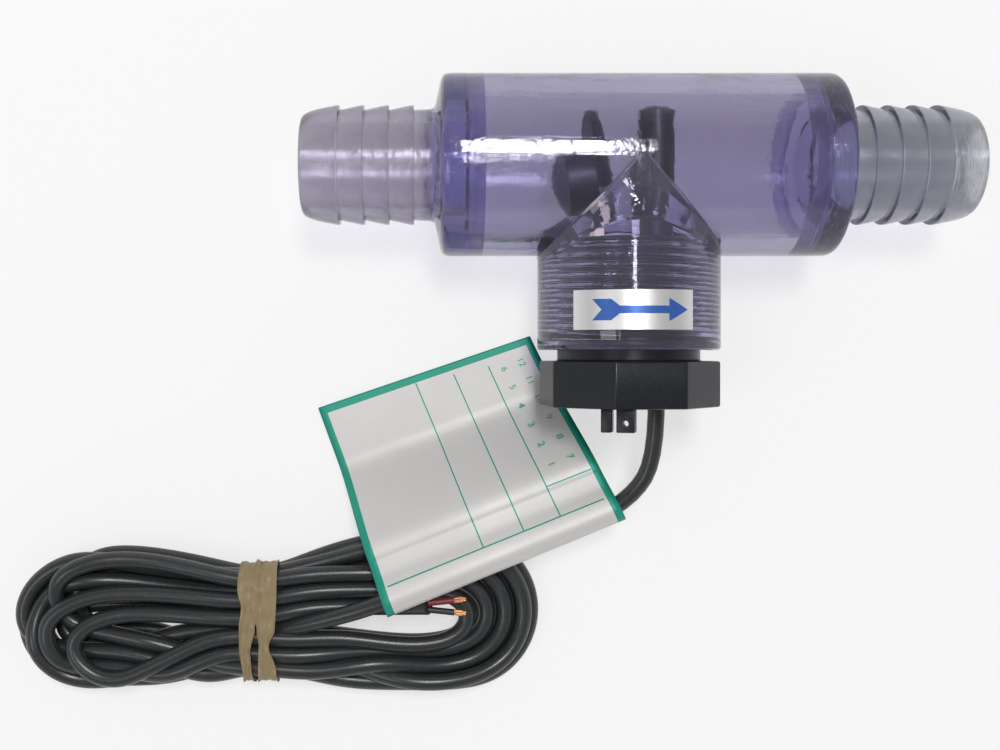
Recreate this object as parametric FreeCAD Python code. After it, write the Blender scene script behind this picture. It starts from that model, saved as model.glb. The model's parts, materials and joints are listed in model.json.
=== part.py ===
import FreeCAD, Part
import math
import os

from FreeCAD import Vector

# Paddle flow switch for 3/4 inch hose, in millimetres. Water enters at the -X barb and leaves at
# the +X barb. The switch plug screws into the branch, which points along -Y. The part lies on its
# side with +Z up. Shapes are drawn about the crossing of the tube's and the branch's axes, and
# moved at the end so that the origin is at the bottom centre of the rigid part.

# Run tube: nominal 1 inch clear PVC pipe, schedule 40
tube_od = 33.4
tube_id = 26.6
inlet_reach = 34.6  # crossing of the axes to the outer face of the inlet flange
outlet_reach = 37.4
cement_gap = 0.05  # film of solvent cement

# End fittings: flange and spigot for the tube, barb for a 3/4 inch hose
flange_thickness = 4.8
flange_chamfer = 0.4
spigot_length = 6.5
spigot_wall = 1.75
barb_length = 25.4
barb_crest_od = 21.8
barb_step = 1.1
barb_ridges = 4
barb_pitch = 4.55
barb_nose = 6.9  # tip to the first crest
barb_tip_od = 17.4
barb_tip_break = 0.5
barb_bore = 15.9
barb_flare = 2.0  # cone between the barb's root and the flange
crest_land = 0.5

# Branch: the tube's own outside, with a tapered pipe thread port
neck_reach = 34.0  # crossing of the axes to the mouth
neck_chamfer = 1.2
port_mouth_d = 26.7
port_taper = 1.0 / 32.0  # radius lost per unit of depth
port_countersink = 0.8
thread_clearance = 0.05  # radial, over the plug's thread

# Flow arrow label on the top of the branch
arrow_label_height = 6.9
arrow_label_from = -43.0  # degrees from +Z towards +X
arrow_label_to = 32.0
arrow_label_thickness = 0.15
arrow_label_mouth_gap = 3.5  # to the mouth of the branch

# Switch plug
plug_length_in_port = 20.0
plug_top_chamfer = 0.8
plug_neck_d = 26.0
plug_neck_gap = 2.0  # plain neck seen between the branch and the head
head_thickness = 8.3
head_flats = 30.7
head_sides = 8
head_turn = -16.4  # one corner's angle from +Z towards +X, degrees
head_chamfer = 0.5
cavity_d = 20.0
ceiling_thickness = 8.5
peg_height = 4.1
peg_depth = 2.8
peg_widths = (1.9, 3.2)
peg_gap = 0.8
peg_radius = 12.6  # centre of the pair from the plug's axis
peg_eye_d = 1.1

# Reed stem and what it holds
stem_offset = 5.0  # downstream of the branch's axis
stem_d = 6.6
stem_wall = 1.0
stem_above_axis = 10.5
stem_end_wall = 1.2
stem_end_break = 0.6
stem_flange_d = 9.0
stem_flange_thickness = 1.5
stem_fit = 0.05
reed_d = 2.2
reed_wall = 0.3
reed_length = 13.0
reed_centre = 1.5  # contact gap, below the tube's axis
reed_gap = 0.25  # glass to the stem's bore
reed_lead_d = 0.6
reed_lead_length = 4.0
reed_seal = 1.0  # solid glass round each lead
reed_upper_lead = 2.2
blade_width = 1.0
blade_thickness = 0.25
blade_gap = 0.15
blade_overlap = 1.2
return_side = 1.0  # the second wire's axis from the stem's axis, along Z
splice_d = 1.5
splice_length = 3.2
bridge_width = 1.5
wire_d = 1.2
core_pitch = 1.24  # between the two cores where they enter the jacket

# Leaf spring that carries the paddle
spring_x = -5.1
spring_thickness = 0.4
spring_width = 10.0
spring_in_plug = 4.0
spring_free = 7.6  # from the plug's top face to the paddle's root
spring_in_paddle = 4.8
spring_fit = 0.05
anchor_hole_d = 2.0
anchor_spacing = 5.0
anchor_height = 2.6
wedge_thickness = 0.95
wedge_proud = 0.4

# Paddle: round vane with a magnet pod on its upstream face
paddle_lean = 8.3  # degrees upstream at rest
vane_d = 17.0
vane_thickness = 2.0
vane_bevel = 0.6
vane_root_sunk = 0.3  # the disc's edge below the root
root_margin = 0.8
root_height = 5.6
pod_d = 12.4
pod_centre = 4.2
pod_length = 5.2
pod_wall = 1.5
boss_height = 0.8
magnet_thickness = 4.4
magnet_fit = 0.1
cap_height = 2.2
cap_spigot = 0.3

# Cable, about 1.8 m in all, most of it in the hank. This and what follows is laid out along X
# and Y from the crossing of the axes, and up from the surface that the part lies on.
cable_d = 3.2
cable_start = 36.25  # crossing of the axes to the end of the jacket in the resin
cable_to_fold = [(6.0, -52.65, 15.9), (0.8, -62.75, 13.0)]
cable_in_fold = [(-16.2, -70.05), (-45.2, -81.65)]
cable_from_fold = [(-59.1, -86.05, 9.4), (-67.6, -88.15, 6.2)]

# Hank: (x, y of the middle, width, bottom, top) of each section
hank_sections = [
    (-119.2, -84.45, 9.0, 0.8, 4.6),
    (-116.6, -84.65, 17.0, 0.2, 7.0),
    (-107.6, -85.25, 25.0, 0.0, 9.4),
    (-91.6, -86.05, 27.2, 0.0, 9.8),
    (-75.1, -85.65, 21.0, 1.3, 9.6),
    (-65.1, -85.65, 21.0, 1.3, 9.6),
    (-46.6, -85.2, 29.0, 0.0, 9.8),
    (-30.6, -84.5, 30.8, 0.0, 9.8),
    (-19.6, -84.3, 24.4, 0.1, 8.4),
    (-14.4, -84.3, 12.0, 0.8, 5.6),
]
hank_corner = 0.42  # corner radius as a share of a section's height

# Rubber band round the hank
band_width = 7.4
band_thickness = 1.2
band_x = -69.9

# Folded label on the cable; the fold is a straight sleeve round the cable
fold_start = (-45.2, -81.65)
fold_turn = 22.4  # degrees from +X
fold_length = 47.8
fold_slack = 1.2  # across the fold, over the cable's diameter
fold_gap = 0.3  # above the hank
film_thickness = 0.4
film_corners = [(0.0, -3.0), (47.8, -3.0), (45.4, 35.8), (1.5, 38.6)]
film_crest = 9.5  # from the fold to where the film starts down
film_foot = 26.5  # from the fold to where it lies flat
film_end = 40.0
film_floor = 0.9  # film's middle above the surface it lies on
film_margin = 2.0  # cut off each end when the film is trimmed to its corners

# Bare end of the cable, lying on the hank
tail_start = (-36.8, -82.45)
tail_length = 7.0
tail_spread = 1.5
tail_gap = 0.3

# Worked out from the sizes above
tube_r = tube_od / 2
tube_bore_r = tube_id / 2
crest_r = barb_crest_od / 2
root_r = crest_r - barb_step
bore_r = barb_bore / 2
spigot_r = tube_bore_r - cement_gap
spigot_bore_r = spigot_r - spigot_wall
port_r = port_mouth_d / 2
plug_top = neck_reach - plug_length_in_port
head_start = neck_reach + plug_neck_gap
head_end = head_start + head_thickness
ceiling = plug_top + ceiling_thickness
cavity_r = cavity_d / 2
stem_r = stem_d / 2
stem_bore_r = stem_r - stem_wall
reed_r = reed_d / 2
reed_side = reed_r + reed_gap - stem_bore_r  # reed's axis from the stem's axis, along Z
lead_r = reed_lead_d / 2
wire_r = wire_d / 2
splice_r = splice_d / 2
reed_top = reed_centre - reed_length / 2
reed_foot = reed_centre + reed_length / 2
lower_joint = reed_foot + reed_lead_length
upper_joint = reed_top - reed_upper_lead
paddle_root = plug_top - spring_free
vane_centre = vane_d / 2 - vane_root_sunk
peg_end = head_end + peg_height
fold_bore = cable_d + fold_slack
hank_top = max(section[4] for section in hank_sections)
fold_height = hank_top + fold_gap + film_thickness + fold_bore / 2
left_end = -(inlet_reach + barb_length)
right_end = outlet_reach + barb_length

# The crossing of the axes in the part's own frame, and the spot on the table under it
tee = Vector(-(left_end + right_end) / 2, (peg_end - tube_r) / 2, tube_r)
on_table = Vector(tee.x, tee.y, 0)
cable_route = [(stem_offset, -cable_start, tee.z)] + cable_to_fold
cable_route += [(x, y, fold_height) for x, y in cable_in_fold] + cable_from_fold

nodes = {}


def outline_face(steps, place):
    """A closed face. A step (a, r) ends a line; (a, r, mid_a, mid_r) ends an arc through its middle."""
    edges = []
    last = place(*steps[0][:2])
    for step in steps[1:] + [steps[0][:2]]:
        here = place(*step[:2])
        if len(step) == 4:
            edges.append(Part.Arc(last, place(*step[2:]), here).toShape())
        elif (here - last).Length > 1e-6:
            edges.append(Part.LineSegment(last, here).toShape())
        last = here
    return Part.Face(Part.Wire(edges))


def lathe_x(steps):
    """A solid of revolution about X: a is x, r is the radius."""
    face = outline_face(steps, lambda a, r: Vector(a, r, 0))
    return face.revolve(Vector(), Vector(1, 0, 0), 360)


def lathe_y(steps):
    """A solid of revolution about the branch's axis: a is the distance from the tube's axis."""
    face = outline_face(steps, lambda a, r: Vector(r, -a, 0))
    return face.revolve(Vector(), Vector(0, 1, 0), 360)


def box(low, high):
    size = Vector(*high) - Vector(*low)
    return Part.makeBox(size.x, size.y, size.z, Vector(*low))


def rod_y(radius, a_from, a_to, x=0.0, z=0.0):
    """A rod along the branch's axis, from one distance to another."""
    return Part.makeCylinder(radius, a_to - a_from, Vector(x, -a_from, z), Vector(0, -1, 0))


def rod_x(radius, x_from, x_to, y=0.0, z=0.0):
    return Part.makeCylinder(radius, x_to - x_from, Vector(x_from, y, z), Vector(1, 0, 0))


def rounded_path(points):
    """Straight runs joined by tangent arcs, with the radius of each arc."""
    spots = [Vector(*p) for p in points]
    edges = []
    radii = []
    last = spots[0]
    for before, here, after in zip(spots, spots[1:], spots[2:]):
        back = before - here
        on = after - here
        turn = math.pi - back.getAngle(on)
        reach = 0.45 * min(back.Length, on.Length)
        radius = reach / math.tan(turn / 2)
        back.normalize()
        on.normalize()
        start = here + back * reach
        end = here + on * reach
        inward = (back + on).normalize()
        middle = here + inward * (radius / math.cos(turn / 2) - radius)
        edges.append(Part.LineSegment(last, start).toShape())
        edges.append(Part.Arc(start, middle, end).toShape())
        radii.append(radius)
        last = end
    edges.append(Part.LineSegment(last, spots[-1]).toShape())
    return Part.Wire(edges), radii


def tube_along(points, diameter):
    """A round rod swept along runs and arcs."""
    path, radii = rounded_path(points)
    start = Vector(*points[0])
    along = Vector(*points[1]) - start
    section = Part.Wire(Part.makeCircle(diameter / 2, start, along))
    return path.makePipeShell([section], True, False), path.Length, radii


def port_core():
    """What the tapered port takes out of the branch and the tube's wall."""
    at_axis = port_r - neck_reach * port_taper
    return lathe_y([
        (0.0, 0.0),
        (0.0, at_axis),
        (neck_reach, port_r),
        (neck_reach + 1.0, port_r),
        (neck_reach + 1.0, 0.0),
    ])


def make_run_tube():
    start = -inlet_reach + flange_thickness
    end = outlet_reach - flange_thickness
    pipe = lathe_x([(start, tube_bore_r), (end, tube_bore_r), (end, tube_r), (start, tube_r)])
    return pipe.cut(port_core())


def make_branch_neck():
    sleeve = lathe_y([
        (0.0, 0.0),
        (0.0, tube_r),
        (neck_reach - neck_chamfer, tube_r),
        (neck_reach, tube_r - neck_chamfer),
        (neck_reach, 0.0),
    ])
    coped = sleeve.cut(Part.makeCylinder(tube_r + cement_gap, 4 * tube_r,
                                         Vector(-2 * tube_r, 0, 0), Vector(1, 0, 0)))
    mouth = lathe_y([
        (neck_reach - port_countersink, 0.0),
        (neck_reach - port_countersink, port_r),
        (neck_reach + 0.2, port_r + port_countersink + 0.2),
        (neck_reach + 0.2, 0.0),
    ])
    return coped.cut(port_core()).cut(mouth)


def barb_steps(face, tip):
    """The barb's outside, from the flange to the tip: a flare, the ridges and the nose."""
    steps = [(face, root_r + barb_flare), (face + barb_flare, root_r)]
    for ridge in reversed(range(barb_ridges)):
        back = tip - barb_nose - ridge * barb_pitch
        steps.append((back, root_r))
        steps.append((back, crest_r))
        steps.append((back + crest_land, crest_r))
    tip_r = barb_tip_od / 2
    steps.append((tip - barb_tip_break, tip_r))
    steps.append((tip, tip_r - barb_tip_break))
    return steps


def make_end_fitting(reach):
    """Barb, flange and spigot in one piece, pointing along +X."""
    joint = reach - flange_thickness
    tip = reach + barb_length
    spigot_end = joint - spigot_length
    outside = [
        (spigot_end, spigot_bore_r),
        (spigot_end, spigot_r),
        (joint, spigot_r),
        (joint, tube_r),
        (reach - flange_chamfer, tube_r),
        (reach, tube_r - flange_chamfer),
    ]
    inside = [
        (tip, bore_r),
        (reach - 1.0, bore_r),
        (joint, spigot_bore_r),
    ]
    return lathe_x(outside + barb_steps(reach, tip) + inside)


def make_arrow_label():
    end = neck_reach - arrow_label_mouth_gap
    start = end - arrow_label_height
    outer_r = tube_r + arrow_label_thickness
    face = outline_face([(start, tube_r), (start, outer_r), (end, outer_r), (end, tube_r)],
                        lambda a, r: Vector(r, -a, 0))
    face.rotate(Vector(), Vector(0, -1, 0), 90 - arrow_label_to)
    return face.revolve(Vector(), Vector(0, -1, 0), arrow_label_to - arrow_label_from)


def thread_crest(a):
    """Radius over the plug's thread at a distance from the tube's axis."""
    return port_r - (neck_reach - a) * port_taper - thread_clearance


def make_plug_body():
    """Tapered shank, octagonal head, and the cavity that takes the cable and the resin."""
    shoulder = plug_top + plug_top_chamfer
    shank = lathe_y([
        (plug_top, 0.0),
        (plug_top, thread_crest(plug_top) - plug_top_chamfer),
        (shoulder, thread_crest(shoulder)),
        (neck_reach, thread_crest(neck_reach)),
        (neck_reach, plug_neck_d / 2),
        (head_start, plug_neck_d / 2),
        (head_start, 0.0),
    ])
    body = shank.fuse(make_head())
    body = body.cut(rod_y(cavity_r, ceiling, head_end + 1))
    body = body.cut(rod_y(stem_r + stem_fit, plug_top - 1, ceiling + 1, stem_offset))
    body = body.cut(spring_slot())
    for peg in make_pegs():
        body = body.fuse(peg)
    return body.removeSplitter()


def make_head():
    """Octagonal wrench head, its corners broken at both ends."""
    corner_r = head_flats / 2 / math.cos(math.pi / head_sides)
    corners = []
    for side in range(head_sides + 1):
        angle = math.radians(head_turn + 360.0 * side / head_sides)
        corners.append(Vector(corner_r * math.sin(angle), -head_start, corner_r * math.cos(angle)))
    prism = Part.Face(Part.makePolygon(corners)).extrude(Vector(0, -head_thickness, 0))
    broken = lathe_y([
        (head_start, 0.0),
        (head_start, corner_r - head_chamfer),
        (head_start + head_chamfer / 2, corner_r + 0.01),
        (head_end - head_chamfer / 2, corner_r + 0.01),
        (head_end, corner_r - head_chamfer),
        (head_end, 0.0),
    ])
    return prism.common(broken)


def make_pegs():
    """Two moulded pegs on the head's end face, the wider one with an eye through it."""
    pegs = []
    x = -sum(peg_widths) / 2 - peg_gap / 2
    for width in peg_widths:
        low = (x, -peg_end, peg_radius - peg_depth / 2)
        high = (x + width, -head_end + 0.5, peg_radius + peg_depth / 2)
        peg = box(low, high)
        if width == max(peg_widths):
            peg = peg.cut(Part.makeCylinder(peg_eye_d / 2, 2 * peg_depth + peg_radius,
                                            Vector(x + width / 2, -peg_end + 1.6, 0), Vector(0, 0, 1)))
        peg.rotate(Vector(), Vector(0, 1, 0), head_turn)
        pegs.append(peg)
        x += width + peg_gap
    return pegs


def spring_slot():
    """Slot in the plug's top for the leaf spring and its wedge."""
    half = spring_thickness / 2 + spring_fit
    z = spring_width / 2 + spring_fit
    return box((spring_x - half, -plug_top - spring_in_plug, -z),
               (spring_x + half + wedge_thickness + spring_fit, -plug_top + 1, z))


def make_spring_wedge():
    near = spring_x + spring_thickness / 2 + spring_fit
    z = spring_width / 2 - 0.3
    return box((near, -plug_top - spring_in_plug, -z),
               (near + wedge_thickness, -plug_top + wedge_proud, z))


def make_reed_stem():
    """Closed tube that keeps the reed dry, held by a flange under the plug's ceiling."""
    end = -stem_above_axis
    flange_end = ceiling + stem_flange_thickness
    shape = lathe_y([
        (end, 0.0),
        (end, stem_r - stem_end_break),
        (end + stem_end_break, stem_r),
        (ceiling, stem_r),
        (ceiling, stem_flange_d / 2),
        (flange_end, stem_flange_d / 2),
        (flange_end, stem_bore_r),
        (end + stem_end_wall, stem_bore_r),
        (end + stem_end_wall, 0.0),
    ])
    shape.translate(Vector(stem_offset, 0, 0))
    return shape


def make_reed_blades():
    """The two flat contacts, each with its round lead."""
    offset = (blade_gap + blade_thickness) / 2
    low = reed_centre + blade_overlap / 2
    high = reed_centre - blade_overlap / 2
    blades = []
    for x, a_from, a_to, lead_from, lead_to in (
            (stem_offset - offset, high, reed_foot - reed_seal, reed_foot - reed_seal, lower_joint),
            (stem_offset + offset, reed_top + reed_seal, low, upper_joint, reed_top + reed_seal)):
        blade = box((x - blade_thickness / 2, -a_to, reed_side - blade_width / 2),
                    (x + blade_thickness / 2, -a_from, reed_side + blade_width / 2))
        blades.append(blade.fuse(rod_y(lead_r, lead_from, lead_to, stem_offset, reed_side)))
    return blades


def make_reed_glass(blades):
    """Glass capsule sealed round both leads."""
    taper = reed_r * 0.6
    capsule = lathe_y([
        (reed_top, 0.0),
        (reed_top, lead_r + 0.15),
        (reed_top + taper, reed_r),
        (reed_foot - taper, reed_r),
        (reed_foot, lead_r + 0.15),
        (reed_foot, 0.0),
    ])
    capsule.translate(Vector(stem_offset, 0, reed_side))
    capsule = capsule.cut(rod_y(reed_r - reed_wall, reed_top + reed_seal, reed_foot - reed_seal,
                                stem_offset, reed_side))
    for blade in blades:
        capsule = capsule.cut(blade)
    return capsule


def make_wires(jacket):
    """The cable's two cores: black to the reed's lower lead, red past the reed to its upper lead."""
    bend = ceiling + stem_flange_thickness + 2.0
    wires = []
    for joint, side, core in ((lower_joint, reed_side, -core_pitch / 2),
                              (upper_joint, return_side, core_pitch / 2)):
        points = [(stem_offset, -joint, side), (stem_offset, -bend, side),
                  (stem_offset, -cable_start - 0.3, core)]
        wires.append(tube_along(points, wire_d)[0].cut(jacket))
    return wires


def make_splices(joined):
    """A crimp sleeve on the lower joint, and a bridge across the two ends of the upper one."""
    half = splice_length / 2
    sleeve = rod_y(splice_r, lower_joint - half, lower_joint + half, stem_offset, reed_side)
    bridge = box((stem_offset - bridge_width / 2, -upper_joint - splice_r, reed_side - splice_r),
                 (stem_offset + bridge_width / 2, -upper_joint + splice_r, return_side + splice_r))
    for piece in joined:
        sleeve = sleeve.cut(piece)
        bridge = bridge.cut(piece)
    return sleeve, bridge


def make_potting(inside):
    """Resin that fills the plug's cavity round everything in it."""
    fill = rod_y(cavity_r, ceiling, head_end - 0.4)
    fill = fill.cut(rod_y(stem_bore_r, ceiling - 1, ceiling + stem_flange_thickness, stem_offset))
    for piece in inside:
        fill = fill.cut(piece)
    return fill


def paddle_place(shape):
    """From the paddle's own frame, root at the origin and vane along Y, to its lean at rest."""
    shape.rotate(Vector(), Vector(0, 0, 1), paddle_lean)
    shape.translate(Vector(spring_x, -paddle_root, 0))
    return shape


def make_leaf_spring():
    """Flat strip, straight in the plug and bent to the paddle's lean at its root."""
    half = spring_thickness / 2
    bend = math.radians(paddle_lean)
    low = Vector(0, paddle_root - plug_top - spring_in_plug, 0)
    top = Vector(-math.sin(bend), math.cos(bend), 0) * spring_in_paddle
    mitre = Vector(math.cos(bend / 2), math.sin(bend / 2), 0) * (half / math.cos(bend / 2))
    across = Vector(half, 0, 0)
    across_top = Vector(math.cos(bend), math.sin(bend), 0) * half
    corners = [low - across, low + across, mitre, top + across_top, top - across_top, mitre * -1]
    face = Part.Face(Part.makePolygon(corners + corners[:1]))
    strip = face.extrude(Vector(0, 0, spring_width))
    strip.translate(Vector(spring_x, -paddle_root, -spring_width / 2))
    for side in (-0.5, 0.5):
        hole = rod_x(anchor_hole_d / 2, -3, 3, anchor_height, side * anchor_spacing)
        strip = strip.cut(paddle_place(hole))
    return strip


def make_paddle_vane():
    """Round vane moulded over the spring's end, with the magnet's cup on its upstream face."""
    half = vane_thickness / 2
    r = vane_d / 2
    bevel = vane_bevel
    disc = lathe_x([(-half, 0.0), (-half, r - bevel), (bevel - half, r), (half - bevel, r),
                    (half, r - bevel), (half, 0.0)])
    disc.translate(Vector(0, vane_centre, 0))
    root_z = spring_width / 2 + root_margin
    vane = disc.fuse(box((-half, 0, -root_z), (half, root_height, root_z)))
    pod_r = pod_d / 2
    back = lathe_x([(half - 0.2, 0.0), (half - 0.2, pod_r), (half, pod_r),
                    (half + boss_height, pod_r - 2 * boss_height), (half + boss_height, 0.0)])
    back.translate(Vector(0, pod_centre, 0))
    vane = vane.fuse(back)
    vane = vane.fuse(rod_x(pod_r, -half - pod_length, -half + 0.2, pod_centre))
    vane = vane.cut(rod_x(pod_r - pod_wall, -half - pod_length - 1, -half - 0.4, pod_centre))
    slot_half = spring_thickness / 2 + spring_fit
    slot_z = spring_width / 2 + spring_fit
    slot = box((-slot_half, -6, -slot_z), (slot_half, spring_in_paddle + spring_fit, slot_z))
    for side in (-0.5, 0.5):
        key = rod_x(anchor_hole_d / 2 - spring_fit, -half, half, anchor_height, side * anchor_spacing)
        slot = slot.cut(key)
    return paddle_place(vane.cut(slot).removeSplitter())


def make_paddle_magnet():
    seat = -vane_thickness / 2 - 0.4 - 0.05
    radius = pod_d / 2 - pod_wall - magnet_fit
    return paddle_place(rod_x(radius, seat - magnet_thickness, seat, pod_centre))


def make_magnet_cap():
    """Domed lid that closes the magnet's cup."""
    rim = -vane_thickness / 2 - pod_length
    pod_r = pod_d / 2
    spigot = pod_r - pod_wall - magnet_fit
    dome_r = (pod_r ** 2 + cap_height ** 2) / (2 * cap_height)
    half_turn = math.asin(pod_r / dome_r) / 2
    centre = rim - cap_height + dome_r
    dome = lathe_x([
        (rim + cap_spigot, 0.0),
        (rim + cap_spigot, spigot),
        (rim, spigot),
        (rim, pod_r),
        (rim - cap_height, 0.0, centre - dome_r * math.cos(half_turn), dome_r * math.sin(half_turn)),
    ])
    dome.translate(Vector(0, pod_centre, 0))
    return paddle_place(dome)


def section_wire(x, y, width, bottom, top):
    """A rounded rectangle across the hank."""
    height = top - bottom
    radius = hank_corner * height
    left = y - width / 2
    right = y + width / 2
    cut = radius * (1 - math.sqrt(0.5))
    steps = [
        (left + radius, bottom),
        (right - radius, bottom),
        (right, bottom + radius, right - cut, bottom + cut),
        (right, top - radius),
        (right - radius, top, right - cut, top - cut),
        (left + radius, top),
        (left, top - radius, left + cut, top - cut),
        (left, bottom + radius),
        (left + radius, bottom, left + cut, bottom + cut),
    ]
    return outline_face(steps, lambda a, b: Vector(x, a, b)).OuterWire


def make_hank():
    """Outer shape of the tied turns: two rounded lobes and a waist under the band."""
    return Part.makeLoft([section_wire(*section) for section in hank_sections], True, True)


def make_band(hank):
    """Rubber band drawn round the waist, down to the surface the hank lies on."""
    waist = [s for s in hank_sections if abs(s[0] - band_x) < 6.0][0]
    x, y, width, bottom, top = waist
    start = band_x - band_width / 2
    outer = section_wire(start, y, width + 2 * band_thickness, bottom - band_thickness,
                         top + band_thickness)
    return Part.Face(outer).extrude(Vector(band_width, 0, 0)).cut(hank)


def make_cable_label():
    """Film folded round the cable: a sleeve, a crest over the hank, and a flat skirt."""
    bore_radius = fold_bore / 2
    outer_radius = bore_radius + film_thickness
    drop = fold_height - film_floor
    half = film_thickness / 2
    path = [
        (bore_radius + half, 0.0),
        (film_crest, 0.0),
        (film_foot, -drop),
        (film_end, -drop),
    ]
    wire = rounded_path([(0.0, a, b) for a, b in path])[0]
    strip = wire.makeOffset2D(half, 0, False, True)
    other = wire.makeOffset2D(-half, 0, False, True)
    ends = []
    for index in (0, -1):
        ends.append(Part.LineSegment(strip.OrderedVertexes[index].Point,
                                     other.OrderedVertexes[index].Point).toShape())
    film = Part.Face(Part.Wire(Part.sortEdges(strip.Edges + other.Edges + ends)[0]))
    length = fold_length + 2 * film_margin
    film = film.extrude(Vector(length, 0, 0))
    ring = rod_x(outer_radius, 0, length)
    label = ring.fuse(film).cut(rod_x(bore_radius, 0, length))
    label.translate(Vector(-film_margin, 0, 0))
    corners = [Vector(a, b, -20) for a, b in film_corners]
    trim = Part.Face(Part.makePolygon(corners + corners[:1])).extrude(Vector(0, 0, 40))
    label = label.common(trim)
    label.rotate(Vector(), Vector(0, 0, 1), fold_turn)
    label.translate(Vector(*fold_start, fold_height))
    return label


def hank_top_at(x):
    """Height of the hank's top between its sections."""
    for near, far in zip(hank_sections, hank_sections[1:]):
        if near[0] <= x <= far[0]:
            share = (x - near[0]) / (far[0] - near[0])
            return near[4] + share * (far[4] - near[4])
    return hank_sections[-1][4]


def make_tails():
    """The two bare-ended cores where the cable's jacket stops."""
    tails = []
    for side in (-0.5, 0.5):
        x, y = tail_start
        z = max(hank_top_at(x), hank_top_at(x + tail_length)) + tail_gap + wire_r
        y += side * core_pitch
        direction = Vector(tail_length, side * tail_spread, 0)
        tails.append(Part.makeCylinder(wire_r, direction.Length, Vector(x, y, z), direction))
    return tails


def add(name, shape, origin=tee):
    """Keeps a solid under its node's name, moved to the part's own frame."""
    shape.translate(origin)
    nodes[name] = shape


def build():
    add("run_tube", make_run_tube())
    add("branch_neck", make_branch_neck())
    inlet = make_end_fitting(inlet_reach).mirror(Vector(), Vector(1, 0, 0))
    add("inlet_fitting", inlet)
    add("outlet_fitting", make_end_fitting(outlet_reach))
    add("flow_arrow_label", make_arrow_label())

    cable, cable_length, radii = tube_along(cable_route, cable_d)
    section = math.pi * cable_d ** 2 / 4
    print("cable radii", [round(r, 1) for r in radii], "length", round(cable_length, 1))
    print("cable volume over section times length", round(cable.Volume / section / cable_length, 4))

    stem = make_reed_stem()
    lower_blade, upper_blade = make_reed_blades()
    glass = make_reed_glass([lower_blade, upper_blade])
    jacket = cable.copy()
    jacket.translate(Vector(0, 0, -tee.z))
    black_wire, red_wire = make_wires(jacket)
    lower_splice, upper_splice = make_splices([lower_blade, upper_blade, black_wire, red_wire])
    potting = make_potting([stem, black_wire, red_wire, jacket])
    add("plug_body", make_plug_body())
    add("reed_stem", stem)
    add("potting_fill", potting)
    add("reed_glass", glass)
    add("reed_blade_lower", lower_blade)
    add("reed_blade_upper", upper_blade)
    add("splice_lower", lower_splice)
    add("splice_upper", upper_splice)
    add("wire_black", black_wire)
    add("wire_red", red_wire)
    add("leaf_spring", make_leaf_spring())
    add("spring_wedge", make_spring_wedge())
    add("paddle_vane", make_paddle_vane())
    add("paddle_magnet", make_paddle_magnet())
    add("magnet_cap", make_magnet_cap())

    hank = make_hank()
    band = make_band(hank)
    tail_black, tail_red = make_tails()
    add("cable_lead", cable, on_table)
    add("cable_hank", hank, on_table)
    add("hank_band", band, on_table)
    add("cable_label", make_cable_label(), on_table)
    add("tail_black", tail_black, on_table)
    add("tail_red", tail_red, on_table)


build()
os.makedirs("parts", exist_ok=True)
for node, shape in nodes.items():
    shape.exportStep(f"parts/{node}.step")
    bounds = shape.BoundBox
    print(f"{node:18s} solids {len(shape.Solids)} valid {shape.isValid()} volume {shape.Volume:9.2f}"
          f"  x {bounds.XMin:7.2f} {bounds.XMax:7.2f}  y {bounds.YMin:7.2f} {bounds.YMax:7.2f}"
          f"  z {bounds.ZMin:6.2f} {bounds.ZMax:6.2f}")
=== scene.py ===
import bpy
import bmesh
import json
import math
import numpy as np
from mathutils import Matrix, Vector

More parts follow.
